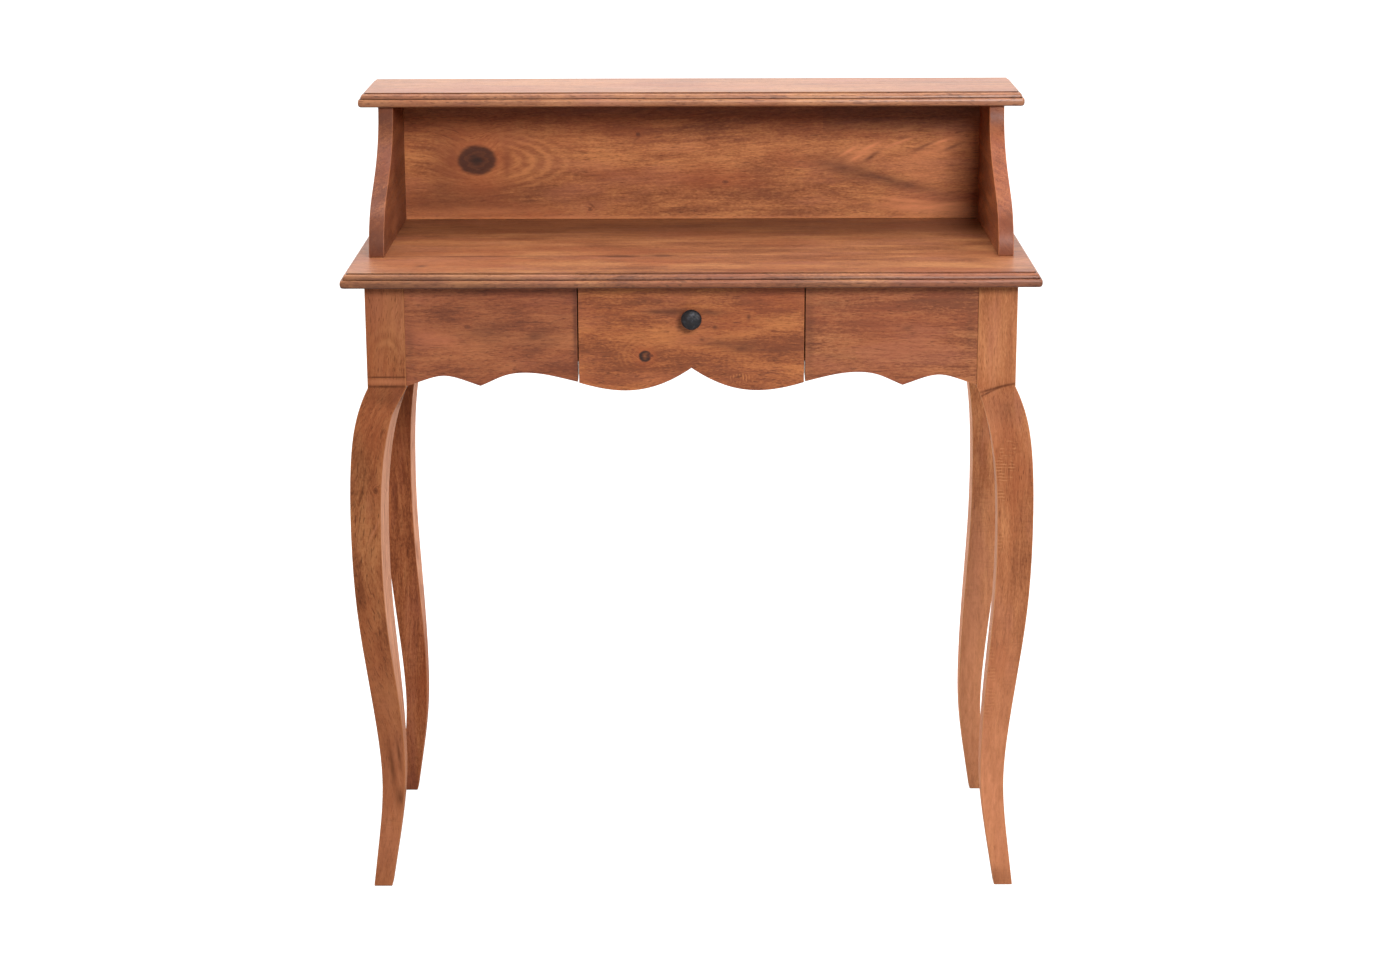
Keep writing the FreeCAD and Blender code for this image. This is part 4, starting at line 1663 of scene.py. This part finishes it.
@dataclass
class Studio:
    """White paper, soft lights and the camera of the photograph."""

    paper: StudioPaper
    eye: Vector
    pitch: float
    yaw: float
    roll: float
    focal_px: float
    floor_size: float = 40.0
    key_power: float = 116.0
    top_power: float = 21.0
    sky_behind: float = 1.25
    sky_before: float = 0.10
    sky_beside: float = 0.14
    sky_flank: float = 1.2
    sky_seen: float = 1.05
    sky_lean: float = 0.45
    behind_edge: tuple[float, float] = (-0.45, 0.35)
    flank_edge: tuple[float, float] = (0.35, 0.9)
    white: Colour = (1.0, 1.0, 1.0, 1.0)
    aim: tuple[float, float, float] = (0.0, -0.15, 0.75)
    key_place: tuple[float, float, float] = (1.0, -3.44, 2.20)
    key_size: tuple[float, float] = (1.2, 0.85)
    top_place: tuple[float, float, float] = (0.0, -0.1, 3.0)
    top_size: tuple[float, float] = (1.6, 0.9)
    view_reach: float = 100.0

    def build(self) -> None:
        """Sets up the floor, the sky, the lights and the camera."""
        self.lay_floor()
        self.light_sky()
        self.add_light("key_light", Vector(self.key_place), self.key_size, self.key_power)
        self.add_light("top_light", Vector(self.top_place), self.top_size, self.top_power)
        self.set_camera()

    def lay_floor(self) -> None:
        """Lays the paper that the desk stands on."""
        bm = bmesh.new()
        bmesh.ops.create_grid(bm, x_segments=1, y_segments=1, size=self.floor_size / 2)
        mesh = bpy.data.meshes.new("floor")
        bm.to_mesh(mesh)
        bm.free()
        mesh.materials.append(self.paper.dress())
        floor = bpy.data.objects.new("floor", mesh)
        bpy.context.scene.collection.objects.link(floor)

    def light_sky(self) -> None:
        """Puts a white backdrop behind the desk and a dim room before it; the camera sees it all white."""
        world = bpy.data.worlds.new("white_room")
        sheet = ShaderSheet(world)
        heading = sheet.node("ShaderNodeTexCoord", {}, {}).outputs["Generated"]
        aside, back, up = sheet.parts(heading)
        behind = (back + up * self.sky_lean).step(*self.behind_edge)
        flank = aside.size().step(*self.flank_edge)
        lit = self.sky_before + flank * self.sky_beside
        lit = lit + behind * (self.sky_behind - self.sky_before + flank * self.sky_flank)
        strength = lit + sheet.seen() * (self.sky_seen - lit)
        glow = sheet.node("ShaderNodeBackground", {}, {"Color": self.white, "Strength": strength})
        sheet.node("ShaderNodeOutputWorld", {}, {"Surface": glow.outputs[0]})
        bpy.context.scene.world = world
        bpy.context.scene.view_settings.view_transform = "Standard"

    def add_light(self, name: str, place: Vector, size: tuple[float, float], power: float) -> None:
        """Adds one soft box that faces the desk.

        Args:
            name: Its name.
            place: Where it stands.
            size: Its width and height in metres.
            power: Its power in watts.
        """
        light = bpy.data.lights.new(name, "AREA")
        light.shape = "RECTANGLE"
        light.size, light.size_y = size
        light.energy = power
        lamp = bpy.data.objects.new(name, light)
        lamp.location = place
        lamp.rotation_euler = (Vector(self.aim) - place).to_track_quat("-Z", "Y").to_euler()
        lamp.visible_camera = False
        bpy.context.scene.collection.objects.link(lamp)

    def set_camera(self) -> None:
        """Puts the camera where the photograph was taken from."""
        right = Vector((math.cos(self.yaw), math.sin(self.yaw), 0))
        ahead = Vector((-math.sin(self.yaw), math.cos(self.yaw), 0))
        up = Vector((0, 0, 1))
        forward = ahead * math.cos(self.pitch) - up * math.sin(self.pitch)
        upward = ahead * math.sin(self.pitch) + up * math.cos(self.pitch)
        image_right = right * math.cos(self.roll) + upward * math.sin(self.roll)
        image_up = upward * math.cos(self.roll) - right * math.sin(self.roll)
        turn = Matrix((image_right, image_up, -forward)).transposed()
        data = bpy.data.cameras.new("camera")
        data.sensor_width = SENSOR_WIDTH_MM
        data.lens = self.focal_px * SENSOR_WIDTH_MM / PHOTO_WIDTH_PX
        data.clip_end = self.view_reach
        camera = bpy.data.objects.new("camera", data)
        camera.matrix_world = Matrix.Translation(self.eye) @ turn.to_4x4()
        bpy.context.scene.collection.objects.link(camera)
        bpy.context.scene.camera = camera


# The boards of this desk, and where it was photographed


GALLERY = Gallery(
    shelf=Timber(
        "shelf_wood", Lie.FLAT, HONEY.toned(0.94, 1.0, 1.0), heart_across=0.75, heart_through=0.80,
        seed=3.1, contrast=0.8, gloss=0.4, coat=0.45,
    ),
    back=Timber(
        "gallery_back_wood", Lie.UPRIGHT, HONEY.toned(1.10, 1.02, 0.84), heart_across=0.700,
        heart_through=0.235, seed=7.7, heart_lean=0.03, contrast=1.15,
        knots=(
            Knot(-0.269, 0.830, 0.0190, 1.3), Knot(-0.067, 0.862, 0.0026, 1.2, 0.6),
            Knot(-0.128, 0.767, 0.0020, 1.6, 0.5), Knot(0.042, 0.802, 0.0024, 1.8, 0.5),
        ),
        whorls=(Whorl(-0.269, 0.828, 0.140, 0.048, 7.0, 0.6, 1.0, 0.0),),
        smudges=smudged(
            (0.215, 0.836, 0.030, 0.010, -0.6, 0.3), (0.300, 0.838, 0.040, 0.008, -0.5, 0.25),
            (0.300, 0.812, 0.040, 0.012, -0.4), (0.245, 0.804, 0.066, 0.0065, 0.8, -0.25),
            (0.190, 0.820, 0.034, 0.014, 0.6, -0.2), (0.196, 0.840, 0.010, 0.0022, -0.9, 0.5),
            (0.208, 0.833, 0.010, 0.0022, -0.9, 0.5), (0.222, 0.845, 0.012, 0.0022, -0.9, 0.5),
            (0.262, 0.852, 0.016, 0.0022, -0.8, 0.35), (0.312, 0.852, 0.018, 0.0022, -0.8, 0.3),
            (0.270, 0.778, 0.030, 0.0025, -0.8, -0.1), (0.320, 0.772, 0.024, 0.0025, -0.8, 0.1),
            (0.226, 0.834, 0.010, 0.0035, 0.8, 0.6), (0.290, 0.846, 0.012, 0.0022, 0.8, 0.4),
            (0.328, 0.846, 0.012, 0.0022, 0.8, 0.4), (-0.305, 0.826, 0.024, 0.030, 0.55),
            (-0.299, 0.834, 0.006, 0.012, 0.7), (-0.232, 0.828, 0.005, 0.019, 0.65),
            # The second mark on the next line is a painted highlight along the panel's bottom edge.
            (-0.290, 0.778, 0.110, 0.020, 0.50), (0.0, 0.7565, 0.50, 0.0022, -0.45),
            (-0.067, 0.858, 0.006, 0.002, 0.6, 0.8), (-0.125, 0.772, 0.005, 0.002, 0.6, -0.9),
            # The first mark on the next line is a painted shadow along the top of the panel, under the
            # shelf.
            (0.030, 0.899, 0.600, 0.018, 0.75), (-0.31, 0.79, 0.012, 0.014, 0.3),
            (0.29, 0.768, 0.060, 0.006, -0.75, -0.05), (-0.26, 0.765, 0.075, 0.006, -0.3),
        ),
        staves=(Stave(0.164, 0.866, 0.22),),
    ),
    left=Timber(
        "gallery_left_wood", Lie.END, HONEY.toned(0.57, 0.48, 0.43), heart_across=0.60,
        heart_through=-0.20, seed=1.3, coat=0.08,
        smudges=smudged((-0.060, 0.772, 0.040, 0.022, 0.4), (-0.090, 0.774, 0.022, 0.020, 0.7)),
    ),
    right=Timber(
        "gallery_right_wood", Lie.END, HONEY.toned(0.79, 0.645, 0.56), heart_across=0.62,
        heart_through=0.22, seed=4.9, coat=0.08,
        smudges=smudged(
            (-0.078, 0.760, 0.018, 0.009, 0.6), (-0.06, 0.770, 0.010, 0.016, 0.3),
            (-0.080, 0.820, 0.045, 0.100, 0.26),
        ),
    ),
)
DESKTOP = MouldedBoard(
    "desktop",
    Timber(
        "desktop_wood", Lie.FLAT, HONEY.toned(0.83, 0.82, 0.74), heart_across=-0.70, heart_through=0.60,
        seed=12.4, contrast=1.25, gloss=0.4, coat=0.22,
        smudges=smudged(
            (-0.082, -0.083, 0.020, 0.006, 1.4), (-0.034, -0.081, 0.014, 0.006, 1.4),
            (-0.210, -0.082, 0.110, 0.004, 0.6), (-0.311, -0.143, 0.006, 0.006, 0.95),
            # The second mark on the next line is a painted shade band along the rear, under the shelf.
            (0.05, -0.042, 0.30, 0.007, 0.30), (0.0, 0.125, 0.60, 0.060, 0.30),
            (-0.320, -0.191, 0.120, 0.008, 0.45),
        ),
    ),
    # Stronger painted shade on the desktop's bead and ovolo.
    bead_shade=0.36, ovolo_shade=0.55,
)
BASE = Base(
    legs=(
        Leg(
            "leg_front_left",
            Timber(
                "leg_front_left_wood", Lie.POST, HONEY.toned(0.69, 0.66, 0.64), heart_across=-0.62,
                heart_through=0.30, seed=2.2, heart_lean=0.02, contrast=1.15, cross_strength=0.10,
                gloss=0.06, coat=0.0,
                knots=(Knot(0.499, -0.367, 0.0028, 1.4, 0.5),),
                whorls=(Whorl(0.645, -0.352, 0.050, 0.028, 3.0, 0.55, 0.8, 0.1),),
                smudges=smudged(
                    (0.060, -0.340, 0.200, 0.080, -0.50), (0.690, -0.353, 0.050, 0.045, -0.22),
                    (0.629, -0.352, 0.0009, 0.040, 1.0), (0.618, -0.352, 0.0016, 0.040, 1.0),
                    (0.6235, -0.352, 0.0035, 0.040, -0.5), (0.606, -0.352, 0.009, 0.030, 0.45),
                    (0.451, -0.370, 0.012, 0.0016, -0.6, 0.45), (0.530, -0.385, 0.030, 0.008, 0.3),
                    (0.150, -0.361, 0.030, 0.003, 0.7, -0.1), (0.165, -0.352, 0.022, 0.002, 0.6, -0.1),
                    (0.110, -0.352, 0.012, 0.006, 0.6),
                ),
            ),
            skew=5.0 * MM,
        ),
        Leg(
            "leg_front_right",
            Timber(
                "leg_front_right_wood", Lie.POST, HONEY.toned(0.95, 0.97, 1.01), heart_across=0.60,
                heart_through=-0.10, seed=5.8, heart_lean=-0.01, contrast=0.8, cross_strength=0.14,
                sawn_sheen_share=0.74, gloss=0.06, coat=0.0,
                smudges=smudged(
                    (0.110, 0.345, 0.220, 0.080, -0.70), (0.680, 0.354, 0.060, 0.040, -0.14),
                    (0.614, 0.350, 0.0013, 0.020, 1.0, 0.0, 0.25),
                    (0.609, 0.342, 0.0012, 0.014, 0.9, 0.0, 0.45),
                    (0.618, 0.366, 0.0014, 0.014, 0.9, 0.0, 0.2), (0.590, 0.358, 0.020, 0.022, 0.35),
                    (0.570, 0.350, 0.020, 0.010, -0.25), (0.530, 0.370, 0.070, 0.030, 0.16),
                    (0.008, 0.340, 0.013, 0.040, 0.7),
                ),
                chatters=(
                    Chatter(0.545, 0.366, 0.012, 0.010, 0.0042, 0.55),
                    Chatter(0.523, 0.362, 0.016, 0.013, 0.0038, 0.65),
                    Chatter(0.488, 0.354, 0.014, 0.010, 0.0040, 0.65),
                    Chatter(0.440, 0.353, 0.022, 0.010, 0.0044, 0.4),
                    Chatter(0.250, 0.352, 0.060, 0.008, 0.0046, 0.4),
                ),
            ),
            skew=-1.5 * MM,
        ),
        Leg(
            "leg_rear_left",
            Timber(
                "leg_rear_left_wood", Lie.POST, HONEY.toned(0.72, 0.62, 0.60), heart_across=-0.60,
                heart_through=0.20, seed=9.4, contrast=1.2, cross_strength=0.10, gloss=0.06, coat=0.0,
                smudges=smudged((0.520, -0.335, 0.060, 0.006, 0.6), (0.424, -0.328, 0.008, 0.004, 0.8)),
            ),
            skew=2.0 * MM,
        ),
        Leg(
            "leg_rear_right",
            Timber(
                "leg_rear_right_wood", Lie.POST, HONEY.toned(0.98, 1.05, 1.10), heart_across=0.55,
                heart_through=0.20, seed=6.1, contrast=1.1, cross_strength=0.14, sawn_sheen_share=0.68,
                gloss=0.06, coat=0.0,
                smudges=smudged((0.150, 0.340, 0.200, 0.080, -0.80)),
            ),
        ),
    ),
    aprons={
        "apron_front_left": Timber(
            "apron_front_left_wood", Lie.UPRIGHT, HONEY.toned(0.71, 0.565, 0.50), heart_across=0.58,
            heart_through=-0.10, seed=8.3,
            knots=(Knot(-0.258, 0.688, 0.0026, 1.4, 0.4),),
            contrast=1.0,
            smudges=smudged(
                (-0.236, 0.682, 0.030, 0.014, 0.45), (-0.176, 0.678, 0.018, 0.008, 0.60, 0.3),
                (-0.172, 0.665, 0.020, 0.006, 0.35, 0.3), (-0.283, 0.704, 0.016, 0.008, 0.30),
                (-0.150, 0.724, 0.008, 0.004, 0.35), (-0.300, 0.676, 0.034, 0.010, -0.50, -0.3),
                (-0.325, 0.665, 0.006, 0.022, 0.35), (-0.1335, 0.690, 0.003, 0.060, 0.8),
            ),
        ),
        "apron_front_right": Timber(
            "apron_front_right_wood", Lie.UPRIGHT, HONEY.toned(0.81, 0.71, 0.62), heart_across=0.30,
            heart_through=-0.30, seed=15.2,
            smudges=smudged(
                (0.249, 0.685, 0.006, 0.003, 0.55), (0.262, 0.717, 0.020, 0.0025, 0.4),
                (0.160, 0.714, 0.018, 0.004, 0.4), (0.165, 0.652, 0.016, 0.004, 0.35),
                (0.136, 0.676, 0.006, 0.060, 0.45), (0.322, 0.690, 0.006, 0.040, 0.3),
            ),
        ),
        "apron_side_left": Timber(
            "apron_side_left_wood", Lie.END, HONEY.toned(0.71, 0.59, 0.48), heart_across=0.60,
            heart_through=-0.45, seed=17.9,
        ),
        "apron_side_right": Timber(
            "apron_side_right_wood", Lie.END, HONEY.toned(0.92, 0.80, 0.70), heart_across=0.56,
            heart_through=0.31, seed=20.3,
        ),
        "apron_back": Timber(
            "apron_back_wood", Lie.UPRIGHT, HONEY.toned(0.71, 0.59, 0.48), heart_across=0.30,
            heart_through=0.2, seed=23.5,
        ),
    },
)
BAY = DrawerBay(
    {
        Lie.END: Timber(
            "bay_wood_deep", Lie.END, STRAW, heart_across=0.4, heart_through=0.3, seed=31.0,
        ),
        Lie.FLAT: Timber(
            "bay_wood_flat", Lie.FLAT, STRAW, heart_across=0.5, heart_through=0.2, seed=33.0,
        ),
    },
)
DRAWER = Drawer(
    front=Timber(
        "drawer_front_wood", Lie.UPRIGHT, HONEY.toned(0.86, 0.70, 0.50), heart_across=0.58,
        # The drawer front's edges are painted strongly paler, as abrasion and as a painted highlight.
        heart_through=-0.10, seed=10.6, contrast=1.4, wear_and_highlight=1.2,
        knots=(Knot(-0.0536, 0.653, 0.0066, 1.1, 1.0, 0.6), Knot(-0.0455, 0.6535, 0.0016, 1.2, 0.7)),
        whorls=(Whorl(-0.052, 0.654, 0.040, 0.032, 7.0, 0.35, -0.8, 0.5),),
        smudges=smudged(
            (-0.028, 0.705, 0.028, 0.0040, 0.9), (0.022, 0.704, 0.020, 0.0036, 0.6),
            (0.060, 0.664, 0.022, 0.008, 0.8), (0.030, 0.668, 0.022, 0.005, 0.55),
            (0.100, 0.660, 0.024, 0.006, 0.5), (-0.059, 0.716, 0.030, 0.003, 0.35),
            (-0.070, 0.695, 0.010, 0.002, 0.4), (0.027, 0.687, 0.003, 0.002, 0.9),
            (0.066, 0.699, 0.0025, 0.003, 0.9), (0.012, 0.672, 0.003, 0.002, 0.9),
            (-0.040, 0.655, 0.007, 0.008, 0.5),
        ),
        chatters=(Chatter(0.058, 0.626, 0.016, 0.006, 0.0036, 0.8),),
    ),
    sides=Timber("drawer_side_wood", Lie.END, STRAW, heart_across=0.3, heart_through=0.3, seed=41.0),
    back=Timber("drawer_back_wood", Lie.UPRIGHT, STRAW, heart_across=0.3, heart_through=0.3, seed=43.0),
    bottom=Timber(
        "drawer_bottom_wood", Lie.FLAT, STRAW, heart_across=0.6, heart_through=0.3, seed=47.0,
    ),
    iron=BlackIron(),
)
FIXINGS = Fixings(ZincSteel())
DOWELS = Dowels(
    {
        "shelf_dowels": Timber(
            "shelf_dowel_wood", Lie.POST, STRAW, heart_across=0.3, heart_through=0.3, seed=51.0,
        ),
        "divider_dowels": Timber(
            "divider_dowel_wood", Lie.END, STRAW, heart_across=0.3, heart_through=0.3, seed=53.0,
        ),
    },
)
STUDIO = Studio(
    paper=StudioPaper(),
    eye=Vector((0.01061, -3.33570, 1.35915)),
    pitch=0.26310, yaw=0.00035, roll=-0.00257, focal_px=2812.77,
)


def main() -> None:
    """Builds the desk piece by piece, then the studio."""
    logging.basicConfig(level=logging.INFO, format="%(name)s %(message)s")
    for part in (DESKTOP, GALLERY, BASE, BAY, DRAWER, FIXINGS, DOWELS, STUDIO):
        part.build()


if __name__ == "__main__":
    main()
